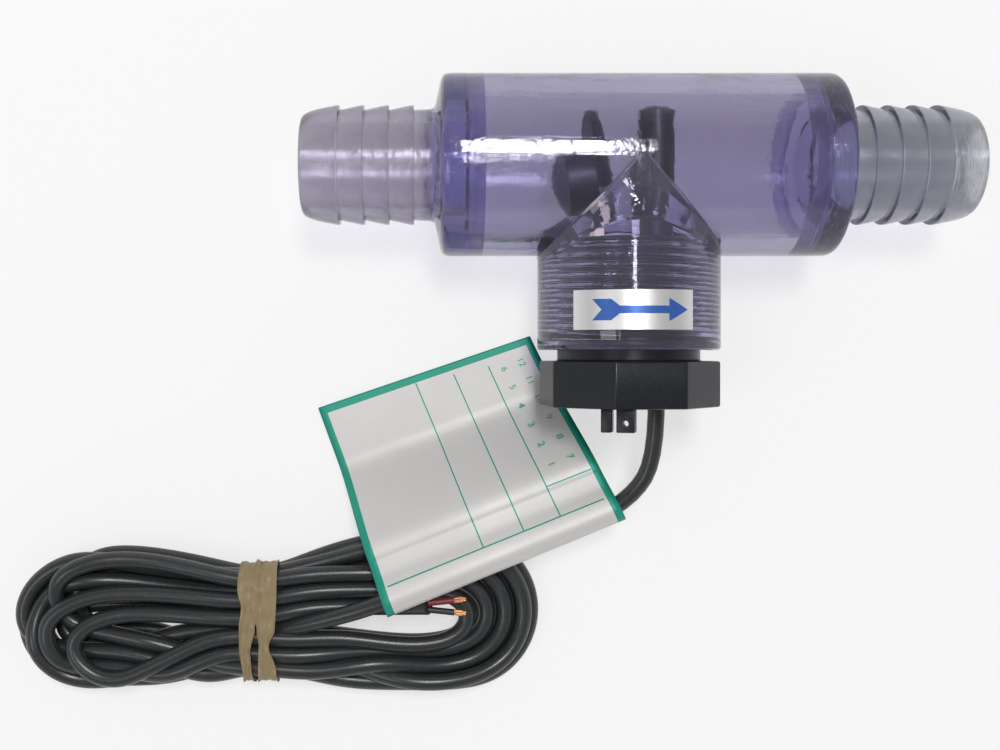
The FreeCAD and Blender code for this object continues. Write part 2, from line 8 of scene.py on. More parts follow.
# Paddle flow switch on a pale table, seen from straight above. Metres throughout.
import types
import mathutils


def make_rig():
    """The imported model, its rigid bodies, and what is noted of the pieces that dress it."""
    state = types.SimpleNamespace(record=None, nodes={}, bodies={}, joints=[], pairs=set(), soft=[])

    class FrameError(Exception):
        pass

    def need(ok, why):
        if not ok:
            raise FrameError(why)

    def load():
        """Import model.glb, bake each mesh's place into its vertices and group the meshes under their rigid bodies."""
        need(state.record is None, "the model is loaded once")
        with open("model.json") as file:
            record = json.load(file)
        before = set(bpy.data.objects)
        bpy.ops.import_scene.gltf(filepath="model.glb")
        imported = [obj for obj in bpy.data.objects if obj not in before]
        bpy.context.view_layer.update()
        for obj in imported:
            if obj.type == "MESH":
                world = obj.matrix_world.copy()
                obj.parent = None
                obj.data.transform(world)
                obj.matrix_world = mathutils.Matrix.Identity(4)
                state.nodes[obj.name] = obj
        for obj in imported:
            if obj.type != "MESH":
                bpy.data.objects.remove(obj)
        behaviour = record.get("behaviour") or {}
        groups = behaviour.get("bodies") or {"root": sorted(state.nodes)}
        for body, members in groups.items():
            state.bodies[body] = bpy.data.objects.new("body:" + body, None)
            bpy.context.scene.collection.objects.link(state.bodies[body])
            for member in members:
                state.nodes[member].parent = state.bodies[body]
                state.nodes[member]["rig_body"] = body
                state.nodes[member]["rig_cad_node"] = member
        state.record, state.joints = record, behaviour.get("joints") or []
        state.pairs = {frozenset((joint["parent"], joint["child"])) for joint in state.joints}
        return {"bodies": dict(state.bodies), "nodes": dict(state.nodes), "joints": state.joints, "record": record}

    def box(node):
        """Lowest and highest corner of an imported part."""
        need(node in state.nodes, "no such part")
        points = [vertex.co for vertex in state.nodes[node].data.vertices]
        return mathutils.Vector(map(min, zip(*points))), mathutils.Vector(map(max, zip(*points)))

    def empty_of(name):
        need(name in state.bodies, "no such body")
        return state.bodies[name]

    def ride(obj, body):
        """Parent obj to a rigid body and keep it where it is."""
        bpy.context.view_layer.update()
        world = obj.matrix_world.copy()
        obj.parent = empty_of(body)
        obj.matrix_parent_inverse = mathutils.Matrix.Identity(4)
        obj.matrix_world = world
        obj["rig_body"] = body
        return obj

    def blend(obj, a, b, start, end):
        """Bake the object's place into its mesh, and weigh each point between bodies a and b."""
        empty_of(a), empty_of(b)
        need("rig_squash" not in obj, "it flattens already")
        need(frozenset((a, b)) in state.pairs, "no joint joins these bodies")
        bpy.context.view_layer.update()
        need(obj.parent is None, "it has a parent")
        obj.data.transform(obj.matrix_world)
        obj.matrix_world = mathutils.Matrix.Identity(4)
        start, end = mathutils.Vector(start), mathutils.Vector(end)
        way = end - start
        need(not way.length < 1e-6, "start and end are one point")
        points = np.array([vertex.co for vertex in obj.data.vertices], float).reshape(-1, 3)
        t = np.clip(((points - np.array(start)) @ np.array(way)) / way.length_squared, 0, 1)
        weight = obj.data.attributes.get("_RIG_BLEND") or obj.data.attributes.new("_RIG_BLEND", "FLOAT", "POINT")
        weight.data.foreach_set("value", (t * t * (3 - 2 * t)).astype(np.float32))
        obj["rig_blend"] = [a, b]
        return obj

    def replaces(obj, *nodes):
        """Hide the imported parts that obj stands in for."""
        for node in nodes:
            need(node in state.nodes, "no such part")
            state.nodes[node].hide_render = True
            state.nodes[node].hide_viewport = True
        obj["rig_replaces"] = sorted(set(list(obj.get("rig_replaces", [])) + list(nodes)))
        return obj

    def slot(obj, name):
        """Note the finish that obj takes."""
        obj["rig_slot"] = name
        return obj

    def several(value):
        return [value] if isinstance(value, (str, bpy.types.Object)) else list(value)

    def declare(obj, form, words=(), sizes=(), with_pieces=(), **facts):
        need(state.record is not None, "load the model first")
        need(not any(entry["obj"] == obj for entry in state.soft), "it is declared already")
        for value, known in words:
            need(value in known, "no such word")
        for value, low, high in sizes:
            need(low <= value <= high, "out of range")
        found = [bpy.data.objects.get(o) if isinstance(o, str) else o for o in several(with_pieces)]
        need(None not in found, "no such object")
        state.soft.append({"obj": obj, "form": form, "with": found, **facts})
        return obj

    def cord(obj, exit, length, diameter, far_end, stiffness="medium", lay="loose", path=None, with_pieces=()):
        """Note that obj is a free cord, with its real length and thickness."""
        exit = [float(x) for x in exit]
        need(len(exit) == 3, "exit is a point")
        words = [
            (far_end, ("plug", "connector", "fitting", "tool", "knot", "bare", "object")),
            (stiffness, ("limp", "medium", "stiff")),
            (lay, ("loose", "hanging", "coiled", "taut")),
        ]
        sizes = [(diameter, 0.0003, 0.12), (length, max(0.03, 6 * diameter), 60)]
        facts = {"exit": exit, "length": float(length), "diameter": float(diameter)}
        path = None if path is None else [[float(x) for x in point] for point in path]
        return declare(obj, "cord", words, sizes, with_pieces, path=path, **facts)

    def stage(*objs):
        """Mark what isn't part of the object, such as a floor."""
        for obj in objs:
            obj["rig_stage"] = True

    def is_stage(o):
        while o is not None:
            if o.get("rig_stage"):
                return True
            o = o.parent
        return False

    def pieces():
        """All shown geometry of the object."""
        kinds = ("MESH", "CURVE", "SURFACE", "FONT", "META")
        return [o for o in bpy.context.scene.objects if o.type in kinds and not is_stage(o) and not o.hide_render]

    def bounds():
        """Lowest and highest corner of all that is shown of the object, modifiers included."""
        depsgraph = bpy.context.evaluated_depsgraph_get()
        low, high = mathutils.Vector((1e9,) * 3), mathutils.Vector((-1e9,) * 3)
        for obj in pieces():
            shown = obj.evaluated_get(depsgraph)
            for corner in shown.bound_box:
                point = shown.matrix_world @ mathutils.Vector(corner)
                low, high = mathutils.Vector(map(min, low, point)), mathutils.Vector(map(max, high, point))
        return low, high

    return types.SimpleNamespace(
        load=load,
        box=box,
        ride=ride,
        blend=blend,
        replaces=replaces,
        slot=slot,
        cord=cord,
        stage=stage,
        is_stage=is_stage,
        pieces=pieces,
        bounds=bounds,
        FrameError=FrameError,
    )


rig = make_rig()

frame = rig.load()
nodes = frame["nodes"]
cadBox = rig.bounds()
print("frame loaded:", len(nodes), "nodes")


def middleOf(node):
    low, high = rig.box(node)
    return (low + high) / 2


def sizeOf(node):
    low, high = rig.box(node)
    return high - low


tee = Vector((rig.box("branch_neck")[0].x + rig.box("branch_neck")[1].x, 0, 0)) / 2
tee.y = middleOf("run_tube").y
tee.z = middleOf("run_tube").z
tubeRadius = sizeOf("run_tube").z / 2
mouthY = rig.box("branch_neck")[0].y  # mouth of the branch


def newMaterial(name):
    material = bpy.data.materials.new(name)
    material.use_nodes = True
    tree = material.node_tree
    tree.nodes.clear()
    output = tree.nodes.new("ShaderNodeOutputMaterial")
    output.location = (900, 0)
    shader = tree.nodes.new("ShaderNodeBsdfPrincipled")
    shader.location = (600, 0)
    tree.links.new(shader.outputs[0], output.inputs["Surface"])
    return material, tree, shader, output


def addNode(tree, kind, place=(0, 0), **values):
    node = tree.nodes.new(kind)
    node.location = place
    for name, value in values.items():
        setattr(node, name, value)
    return node


def setInputs(node, values):
    for name, value in values.items():
        node.inputs[name].default_value = value
    return node


def connect(tree, *wires):
    # each wire: node, its output, node, its input
    for source, output, target, socket in wires:
        tree.links.new(source.outputs[output], target.inputs[socket])


def mixColours(tree, place, first=None, second=None):
    mix = addNode(tree, "ShaderNodeMix", place, data_type="RGBA")
    for socket, colour in ((6, first), (7, second)):
        if colour:
            mix.inputs[socket].default_value = (*colour, 1)
    return mix


def mapTo(tree, place, span):
    return setInputs(addNode(tree, "ShaderNodeMapRange", place), {"To Min": span[0], "To Max": span[1]})


def mapFrom(tree, place, low, high):
    return setInputs(addNode(tree, "ShaderNodeMapRange", place), {"From Min": low, "From Max": high})


def mathNode(tree, place, operation):
    return addNode(tree, "ShaderNodeMath", place, operation=operation)


def clamp(value):
    return min(max(value, 0.0), 1.0)


def addObject(name, data):
    item = bpy.data.objects.new(name, data)
    bpy.context.scene.collection.objects.link(item)
    return item


def giveMaterial(piece, material):
    piece.data.materials.clear()
    piece.data.materials.append(material)


def smoothFaces(mesh, angle=35):
    mesh.polygons.foreach_set("use_smooth", [True] * len(mesh.polygons))
    mesh.set_sharp_from_angle(angle=math.radians(angle))


def meshFrom(work, name, angle=35):
    # ends a bmesh as a smooth mesh
    mesh = bpy.data.meshes.new(name)
    work.to_mesh(mesh)
    work.free()
    smoothFaces(mesh, angle)
    return mesh


def tidyNormals(mesh):
    work = bmesh.new()
    work.from_mesh(mesh)
    bmesh.ops.remove_doubles(work, verts=work.verts, dist=0.0000005)
    bmesh.ops.recalc_face_normals(work, faces=work.faces)
    work.to_mesh(mesh)
    work.free()


def gridMesh(name, rows, loopRows=False, loopColumns=False, angle=35):
    # a skin of quads through rows of points
    across = len(rows[0])
    faces = []
    for i in range(len(rows) - (not loopRows)):
        near, far = i * across, (i + 1) % len(rows) * across
        for j in range(across - (not loopColumns)):
            k = (j + 1) % across
            faces.append((near + j, near + k, far + k, far + j))
    mesh = bpy.data.meshes.new(name)
    mesh.from_pydata([point for row in rows for point in row], [], faces)
    tidyNormals(mesh)
    smoothFaces(mesh, angle)
    return mesh


def boxMesh(name, low, high, bevel=0.0):
    # a box with softened edges
    work = bmesh.new()
    bmesh.ops.create_cube(work, size=1.0)
    size = Vector(high) - Vector(low)
    for vert in work.verts:
        vert.co = Vector(low) + Vector(s * (c + 0.5) for s, c in zip(size, vert.co))
    if bevel:
        bmesh.ops.bevel(work, geom=work.edges[:], offset=bevel, segments=3, affect="EDGES", profile=0.5)
    return meshFrom(work, name, 30)


def rodMesh(name, start, end, radius, count=48):
    # a straight rod between two points
    start, end = Vector(start), Vector(end)
    turn = (end - start).to_track_quat("Z", "Y")
    rows = []
    for i in range(count):
        angle = 2 * math.pi * i / count
        side = turn @ Vector((radius * math.cos(angle), radius * math.sin(angle), 0))
        rows.append([start, start + side, end + side, end])
    return gridMesh(name, rows, loopRows=True)


def evaluated(item):
    # the mesh of an object with its modifiers, or of a curve
    bpy.context.view_layer.update()
    return bpy.data.meshes.new_from_object(item.evaluated_get(bpy.context.evaluated_depsgraph_get()))


def cutMesh(mesh, cutters):
    # takes the cutters out of the mesh
    body = addObject("cutBody", mesh)
    tools = []
    for cutter in cutters:
        tools.append(addObject("cutTool", cutter))
        step = body.modifiers.new("cut", "BOOLEAN")
        step.object = tools[-1]
        step.operation = "DIFFERENCE"
        step.solver = "EXACT"
    shaped = evaluated(body)
    for item in tools + [body]:
        bpy.data.objects.remove(item)
    return shaped


def meshPiece(name, mesh, body, material, slotName):
    piece = addObject(name, mesh)
    giveMaterial(piece, material)
    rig.ride(piece, body)
    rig.slot(piece, slotName)
    return piece


scuffLook = {
    "blotch": {"Detail": 5.0, "Roughness": 0.6},
    "scratch": {"Detail": 3.0},
    "scratchEdge": (0.58, 0.72),
    "patch": {"Scale": 95.0, "Detail": 2.0},
    "patchEdge": (0.46, 0.58),
    "lumps": {"Scale": 1100.0, "Detail": 3.0},
}


def makeScuffGroup():
    # handling marks: blotches, small scratches, and patches of fine lumps
    group = bpy.data.node_groups.new("handlingMarks", "ShaderNodeTree")
    face = group.interface
    for name, value in (("Scale", 400.0), ("Stretch", 6.0)):
        face.new_socket(name, in_out="INPUT", socket_type="NodeSocketFloat").default_value = value
    for name in ("Blotch", "Scratch", "Smear"):
        face.new_socket(name, in_out="OUTPUT", socket_type="NodeSocketFloat")
    start = addNode(group, "NodeGroupInput", (-900, 0))
    end = addNode(group, "NodeGroupOutput", (500, 0))
    place = addNode(group, "ShaderNodeTexCoord", (-900, 300))
    blotch = setInputs(addNode(group, "ShaderNodeTexNoise", (-500, 200)), scuffLook["blotch"])
    stretched = addNode(group, "ShaderNodeVectorMath", (-700, -100), operation="MULTIPLY")
    spread = setInputs(addNode(group, "ShaderNodeCombineXYZ", (-900, -200)), {"Y": 1.0, "Z": 1.0})
    scratch = setInputs(addNode(group, "ShaderNodeTexNoise", (-500, -100)), scuffLook["scratch"])
    crisp = mapFrom(group, (-200, -100), *scuffLook["scratchEdge"])
    patch = setInputs(addNode(group, "ShaderNodeTexNoise", (-500, -350)), scuffLook["patch"])
    patchEdge = mapFrom(group, (-200, -350), *scuffLook["patchEdge"])
    lumps = setInputs(addNode(group, "ShaderNodeTexNoise", (-500, -600)), scuffLook["lumps"])
    smear = mathNode(group, (100, -450), "MULTIPLY")
    connect(group, (place, "Object", patch, "Vector"), (place, "Object", lumps, "Vector"),
            (patch, "Fac", patchEdge, "Value"), (patchEdge, 0, smear, 0), (lumps, "Fac", smear, 1),
            (smear, 0, end, "Smear"), (place, "Object", blotch, "Vector"),
            (start, "Scale", blotch, "Scale"), (start, "Stretch", spread, "X"),
            (place, "Object", stretched, 0), (spread, 0, stretched, 1), (stretched, 0, scratch, "Vector"),
            (start, "Scale", scratch, "Scale"), (scratch, "Fac", crisp, "Value"),
            (blotch, "Fac", end, "Blotch"), (crisp, 0, end, "Scratch"))
    return group


handlingMarks = makeScuffGroup()


def mouldedPlastic(name, look):
    # opaque moulded plastic with a fine skin, uneven gloss and light scuffs
    material, tree, shader, _ = newMaterial(name)
    marks = addNode(tree, "ShaderNodeGroup", (-600, 0), node_tree=handlingMarks)
    setInputs(marks, {"Scale": look["grain"], "Stretch": look.get("stretch", 1.0)})
    colour = mixColours(tree, (-200, 200), look["colour"], look["worn"])
    amount = mathNode(tree, (-400, 200), "MULTIPLY")
    amount.inputs[1].default_value = look["wear"]
    rough = mapTo(tree, (-200, -50), look["rough"])
    bump = addNode(tree, "ShaderNodeBump", (200, -250))
    setInputs(bump, {"Strength": look["bump"], "Distance": 0.0001})
    setInputs(shader, look.get("fixed", {}))
    connect(tree, (marks, "Scratch", amount, 0), (amount, 0, colour, 0), (colour, 2, shader, "Base Color"),
            (marks, "Blotch", rough, "Value"), (rough, 0, shader, "Roughness"),
            (marks, "Blotch", bump, "Height"), (bump, 0, shader, "Normal"))
    return material


stage = {
    "tableSize": 3.0,
    "tableDrop": 0.0002,
    "tableColour": (0.93, 0.93, 0.93),
    "showThrough": 0.6,  # how far the table turns plain white to the eye
    "world": (0.80, 0.30),  # strength near the horizon and overhead
    "worldChange": (0.34, 0.50),  # heights between which it changes
    # name, place, size across X and Y, power; each faces straight down
    "softboxes": (
        ("windowLight", (0.035, 0.255, 0.9), (0.17, 0.23), 4.0),
        ("lampLight", (-0.009, 0.009, 0.9), (0.06, 0.138), 0.36),
        ("fillLight", (-0.55, -0.25, 0.8), (0.4, 0.4), 1.3),
    ),
    "cameraPlace": (-0.0379, -0.01815, 0.247),
    "camera": {"lens": 45, "sensor_width": 36, "shift_x": 0.07, "shift_y": -0.025, "clip_start": 0.01},
}


def makeTable():
    half = stage["tableSize"] / 2
    mesh = bpy.data.meshes.new("table")
    z = -stage["tableDrop"]
    mesh.from_pydata([(-half, -half, z), (half, -half, z), (half, half, z), (-half, half, z)],
                     [], [(0, 1, 2, 3)])
    table = addObject("table", mesh)
    material, tree, shader, output = newMaterial("paleTable")
    setInputs(shader, {"Base Color": (*stage["tableColour"], 1), "Roughness": 0.9, "Specular IOR Level": 0.1})
    white = addNode(tree, "ShaderNodeEmission", (600, 200))
    path = addNode(tree, "ShaderNodeLightPath", (0, 300))
    seen = mathNode(tree, (200, 300), "MAXIMUM")
    through = mathNode(tree, (400, 300), "MAXIMUM")
    amount = mathNode(tree, (600, 300), "MULTIPLY")
    amount.inputs[1].default_value = stage["showThrough"]
    choose = addNode(tree, "ShaderNodeMixShader", (780, 100))
    connect(tree, (path, "Is Camera Ray", seen, 0), (path, "Is Glossy Ray", seen, 1), (seen, 0, through, 0),
            (path, "Is Transmission Ray", through, 1), (through, 0, amount, 0), (amount, 0, choose, 0),
            (shader, 0, choose, 1), (white, 0, choose, 2), (choose, 0, output, "Surface"))
    giveMaterial(table, material)
    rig.stage(table)


def makeLights():
    world = bpy.data.worlds.new("studio")
    bpy.context.scene.world = world
    world.use_nodes = True
    tree = world.node_tree
    background = tree.nodes["Background"]
    background.inputs["Color"].default_value = (1, 1, 1, 1)
    place = addNode(tree, "ShaderNodeTexCoord", (-800, 0))
    split = addNode(tree, "ShaderNodeSeparateXYZ", (-600, 0))
    level = mapFrom(tree, (-400, 0), *stage["worldChange"])
    setInputs(level, {"To Min": stage["world"][0], "To Max": stage["world"][1]})
    connect(tree, (place, "Generated", split, 0), (split, "Z", level, "Value"),
            (level, 0, background, "Strength"))
    for name, spot, size, power in stage["softboxes"]:
        lamp = bpy.data.lights.new(name, "AREA")
        lamp.shape = "RECTANGLE"
        lamp.size, lamp.size_y = size
        lamp.energy = power
        addObject(name, lamp).location = spot


def makeCamera():
    # looks straight down, with +Y up in the picture
    camera = bpy.data.cameras.new("camera")
    for name, value in stage["camera"].items():
        setattr(camera, name, value)
    holder = addObject("camera", camera)
    holder.location = stage["cameraPlace"]
    bpy.context.scene.camera = holder


makeTable()
makeLights()
makeCamera()
bpy.context.scene.view_settings.view_transform = "Standard"
print("table, lights and camera made")


def clearPlastic(name, look):
    # clear PVC: a faintly violet glass that lets the lamps' light through; where it is turned
    # on a lathe, beyond a distance along the pipe, it is frosted
    material, tree, shader, output = newMaterial(name)
    setInputs(shader, {"Transmission Weight": look["clear"], "IOR": 1.53})
    marks = addNode(tree, "ShaderNodeGroup", (-900, 0), node_tree=handlingMarks)
    setInputs(marks, {"Scale": look["grain"], "Stretch": look["stretch"]})
    colour = mixColours(tree, (-500, 300), look["colour"], look["cloud"])
    rough = mapTo(tree, (-500, -50), look["rough"])
    height = mathNode(tree, (-300, -250), "MULTIPLY_ADD")
    height.inputs[1].default_value = look["smear"]
    bump = addNode(tree, "ShaderNodeBump", (200, -250))
    setInputs(bump, {"Strength": look["bump"], "Distance": 0.0002})
    shadow = addNode(tree, "ShaderNodeBsdfTransparent", (600, -300))
    shadow.inputs["Color"].default_value = (*look["shade"], 1)
    path = addNode(tree, "ShaderNodeLightPath", (600, 300))
    choose = addNode(tree, "ShaderNodeMixShader", (760, 100))
    depth = addNode(tree, "ShaderNodeVolumeAbsorption", (600, -450))
    setInputs(depth, {"Color": (*look["depthColour"], 1), "Density": look["density"]})
    connect(tree, (marks, "Blotch", colour, 0), (marks, "Blotch", rough, "Value"),
            (marks, "Smear", height, 0), (marks, "Scratch", height, 2), (height, 0, bump, "Height"),
            (bump, 0, shader, "Normal"), (path, "Is Shadow Ray", choose, 0), (shader, 0, choose, 1),
            (shadow, 0, choose, 2), (choose, 0, output, "Surface"), (depth, 0, output, "Volume"))
    if "frostFrom" not in look:
        connect(tree, (colour, 2, shader, "Base Color"), (rough, 0, shader, "Roughness"))
        return material
    place = addNode(tree, "ShaderNodeTexCoord", (-900, 600))
    split = addNode(tree, "ShaderNodeSeparateXYZ", (-700, 600))
    along = mathNode(tree, (-500, 600), "SUBTRACT")
    along.inputs[1].default_value = tee.x
    away = mathNode(tree, (-300, 600), "ABSOLUTE")
    frost = mapFrom(tree, (-100, 600), look["frostFrom"] - look["frostEdge"],
                    look["frostFrom"] + look["frostEdge"])
    frostColour = mixColours(tree, (-300, 300), look["frost"], look["frostCloud"])
    tint = mixColours(tree, (100, 300))
    matt = mapTo(tree, (-300, 50), look["frostRough"])
    gloss = addNode(tree, "ShaderNodeMix", (100, 50), data_type="FLOAT")
    connect(tree, (place, "Object", split, 0), (split, "X", along, 0), (along, 0, away, 0),
            (away, 0, frost, "Value"), (marks, "Blotch", frostColour, 0), (marks, "Blotch", matt, "Value"),
            (frost, 0, tint, 0), (colour, 2, tint, 6), (frostColour, 2, tint, 7), (frost, 0, gloss, 0),
            (rough, 0, gloss, 2), (matt, 0, gloss, 3), (tint, 2, shader, "Base Color"),
            (gloss, 0, shader, "Roughness"))
    return material


pipeLook = {
    "clear": 0.985, "colour": (0.66, 0.64, 0.72), "cloud": (0.70, 0.68, 0.755),
    "grain": 260.0, "stretch": 0.06, "rough": (0.0, 0.03), "bump": 0.2, "smear": 1.6,
    "shade": (0.82, 0.81, 0.88), "depthColour": (0.15, 0.10, 0.42), "density": 90.0,
}
giveMaterial(nodes["run_tube"], clearPlastic("violetPipe", pipeLook))
neckPlastic = clearPlastic("violetNeck", dict(
    pipeLook, clear=0.965, colour=(0.78, 0.76, 0.90), cloud=(0.84, 0.82, 0.94), stretch=1.0, smear=0.2,
    density=125.0))

# end fittings, drawn about the pipe's axis: distance from the flange's outer face and radius
fittingLook = {
    "flange": 0.0048, "spigot": 0.0030, "spigotWall": 0.0006, "spigotEnd": 0.0002, "mouthEdge": 0.0003,
    "tipEdge": 0.0004,
    "face": ((0.0018, 0.0102), (0.0012, 0.0105), (0.0009, 0.0111), (0.0001, 0.0150), (-0.0001, 0.0157),
             (-0.0005, 0.0163), (-0.0011, 0.01661), (-0.0018, 0.0167)),
    "tubeBore": 0.0133, "overlap": 0.00003,  # the joint's cement leaves no gap
    "barb": 0.0254, "crest": 0.0109, "step": 0.00085, "ridges": 4, "pitch": 0.00455,
    "noseLength": 0.0069, "land": 0.0005, "round": 0.00008, "bore": 0.00795,
    "nose": ((0.0, 0.0084), (0.0001, 0.0088), (0.0004, 0.0092), (0.0009, 0.00952), (0.0016, 0.00982),
             (0.0027, 0.01015), (0.0042, 0.01048), (0.0056, 0.01074)),
    "steps": 160,
    # frosted barb: its clear and cloudy colour for each fitting
    "inletBarb": ((0.66, 0.63, 0.66), (0.74, 0.71, 0.73)),
    "outletBarb": ((0.52, 0.54, 0.55), (0.60, 0.62, 0.61)),
    "plastic": dict(pipeLook, clear=0.95, colour=(0.66, 0.63, 0.86), cloud=(0.72, 0.69, 0.90),
                    grain=500.0, stretch=5.0, smear=0.4, density=95.0, frostRough=(0.10, 0.24),
                    frostEdge=0.0006),
    "frostStart": 0.0012,  # from the flange's outer face
}


def fittingProfile(look):
    # closed outline from the tip's edge over the ridges to the flange, the spigot and back inside
    tip = look["barb"]
    outline = [(tip - t, r) for t, r in look["nose"]]
    soft = look["round"]
    for ridge in range(look["ridges"]):
        edge = tip - look["noseLength"] - ridge * look["pitch"]
        outline += [(edge + look["land"], look["crest"]), (edge + soft, look["crest"]),
                    (edge, look["crest"] - soft), (edge - soft, look["crest"] - look["step"])]
    outline += look["face"]
    inside = look["tubeBore"]
    inner = -look["flange"]
    joint = inner - look["overlap"]
    end = inner - look["spigot"]
    return outline + [
        (joint, tubeRadius), (joint, inside + look["overlap"]), (end, inside + look["overlap"]),
        (end, inside - look["spigotEnd"]), (inner, inside - look["spigotWall"]),
        (inner, look["bore"] + look["mouthEdge"]), (inner + look["mouthEdge"], look["bore"]),
        (tip - look["tipEdge"], look["bore"])]


def makeFitting(name, node, side):
    look = fittingLook
    low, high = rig.box(node)
    face = low.x + look["barb"] if side < 0 else high.x - look["barb"]
    rows = []
    for i in range(look["steps"]):
        turn = 2 * math.pi * i / look["steps"]
        rows.append([(face + side * d, tee.y + r * math.sin(turn), tee.z + r * math.cos(turn))
                     for d, r in fittingProfile(look)])
    frost, cloud = look[name]
    material = clearPlastic(name + "Plastic", dict(
        look["plastic"], frostFrom=abs(face - tee.x) + look["frostStart"], frost=frost, frostCloud=cloud))
    mesh = gridMesh(name, rows, loopRows=True, loopColumns=True, angle=28)
    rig.replaces(meshPiece(name, mesh, "housing", material, "frosted_pvc"), node)


makeFitting("inletBarb", "inlet_fitting", -1)
makeFitting("outletBarb", "outlet_fitting", 1)
print("fittings made")

# the branch and the plug are drawn about the branch's axis: distance from the crossing of the
# axes, radius, and turn from +Z towards +X
plugLook = {
    "portRadius": 0.01335, "taper": 1 / 32, "pitch": 0.0254 / 14, "threadDepth": 0.0009, "crestPower": 2,
    "threadEnd": 0.0308, "clearance": 0.00005, "countersink": 0.0014, "steps": 160,
    "neckRadius": 0.0130, "headGap": 0.0020, "flats": 0.0307, "sides": 8, "headTurn": -16.4,
    "cornerRound": 0.0006, "edgeBreak": 0.0004, "cavityRadius": 0.010, "ceiling": 0.0085,
    "stemOffset": 0.0050, "stemHole": 0.00335, "threadSteps": 110,
    "coped": 0.00003,  # the neck reaches into the pipe by this, so its cement leaves no gap
    "mouthChamfer": 0.0004, "wallTrim": 0.00002, "wallRows": 8, "topBreak": 0.0008,
    "threadFade": 0.001, "neckRound": 0.0003, "rimBreak": 0.0002,
    "slotGap": 0.00005, "slotWiden": 0.00045, "cutOver": 0.001, "cornerShare": 0.021,
    "pegWidths": (0.0019, 0.0032), "pegGap": 0.0008, "pegDepth": 0.0028, "pegRadius": 0.0126,
    "pegHeight": 0.0041, "pegEye": 0.00055, "pegRound": 0.0002, "pegRoot": 0.0005,
    "eyeBack": 0.0016, "eyeCut": (0.008, 0.018),
    # bead of cement where the branch meets the pipe: distance from the edge and height
    "bead": ((0.0, -0.00002), (0.0001, 0.00005), (0.0002, 0.00009), (0.00032, 0.0001),
             (0.00045, 0.00008), (0.0006, 0.00002), (0.0008, -0.00002)),
}
neckReach = tee.y - mouthY
plugTop = tee.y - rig.box("plug_body")[1].y
headEnd = tee.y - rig.box("plug_body")[0].y - plugLook["pegHeight"]


def branchPoint(a, radius, turn):
    return Vector((tee.x + radius * math.sin(turn), tee.y - a, tee.z + radius * math.cos(turn)))


def threadRadius(a, turn, clearance=0.0):
    # radius of the tapered thread; it fades out towards the mouth
    look = plugLook
    crest = look["portRadius"] - (neckReach - a) * look["taper"] - clearance
    phase = a / look["pitch"] - turn / (2 * math.pi)
    groove = 0.5 - 0.5 * math.cos(2 * math.pi * phase)
    groove = groove ** look["crestPower"]
    fade = clamp((look["threadEnd"] + look["pitch"] - a) / look["pitch"])
    fade *= clamp((a - plugTop) / look["pitch"])
    return crest - look["threadDepth"] * groove * fade


def makeNeck():
    # side branch coped to the pipe, with the pipe thread cut in its bore
    look = plugLook
    count = look["steps"]
    coped = tubeRadius - look["coped"]
    chamfer = look["mouthChamfer"]
    sink = look["countersink"]
    steps = look["threadSteps"]
    rows = []
    for i in range(count):
        turn = 2 * math.pi * i / count
        across = math.cos(turn)
        outer = math.sqrt(max(coped ** 2 - (tubeRadius * across) ** 2, 0.0))
        innerAt = look["portRadius"] - neckReach * look["taper"]
        inner = math.sqrt(coped ** 2 - (innerAt * across) ** 2)
        row = []
        for on, lift in look["bead"]:
            lift *= 1 + across if lift > 0 else 1
            row.append(branchPoint(outer + on, tubeRadius + lift, turn))
        for j in range(1, look["wallRows"] + 1):
            a = outer + (neckReach - chamfer - outer) * (0.06 + 0.94 * j / look["wallRows"])
            row.append(branchPoint(a, tubeRadius - look["wallTrim"], turn))
        row.append(branchPoint(neckReach, tubeRadius - chamfer, turn))
        row.append(branchPoint(neckReach, look["portRadius"] + sink, turn))
        start = neckReach - sink
        for j in range(steps + 1):
            a = start + (inner - start) * j / steps
            row.append(branchPoint(a, threadRadius(a, turn), turn))
        rows.append(row)
    return gridMesh("neck", rows, loopRows=True, loopColumns=True, angle=50)


def headAngles():
    # turns of the octagonal head's outline, close together round its corners
    look = plugLook
    step = 2 * math.pi / look["sides"]
    first = math.radians(look["headTurn"])
    corner = look["cornerShare"]
    angles = []
    for side in range(look["sides"]):
        for share in (-corner, -0.012, 0.0, 0.012, corner):
            angles.append(first + (side + share) * step)
        for share in range(1, 18):
            angles.append(first + (side + corner + (1 - 2 * corner) * share / 18) * step)
    return angles


def headRadius(turn):
    # distance to the octagon's outline, its corners rounded
    look = plugLook
    step = 2 * math.pi / look["sides"]
    away = (turn - math.radians(look["headTurn"]) + step / 2) % step - step / 2
    flat = look["flats"] / 2 / math.cos(step / 2 - abs(away))
    corner = (look["flats"] / 2 - look["cornerRound"]) / math.cos(step / 2)
    inside = look["cornerRound"] ** 2 - (corner * math.sin(away)) ** 2
    if inside <= 0:
        return flat
    return min(flat, corner * math.cos(away) + math.sqrt(inside))


def pegMeshes():
    # two moulded pegs on the head's end, the wider one with an eye
    look = plugLook
    turn = Matrix.Rotation(math.radians(look["headTurn"]), 4, "Y")
    place = Matrix.Translation(tee) @ turn
    end = headEnd + look["pegHeight"]
    x = -sum(look["pegWidths"]) / 2 - look["pegGap"] / 2
    pegs = []
    for width in look["pegWidths"]:
        peg = boxMesh("peg", (x, -end, look["pegRadius"] - look["pegDepth"] / 2),
                      (x + width, -headEnd + look["pegRoot"], look["pegRadius"] + look["pegDepth"] / 2),
                      look["pegRound"])
        if width == max(look["pegWidths"]):
            near, far = ((x + width / 2, -end + look["eyeBack"], z) for z in look["eyeCut"])
            eye = rodMesh("eye", near, far, look["pegEye"], 24)
            peg = cutMesh(peg, [eye])
        peg.transform(place)
        pegs.append(peg)
        x += width + look["pegGap"]
    return pegs


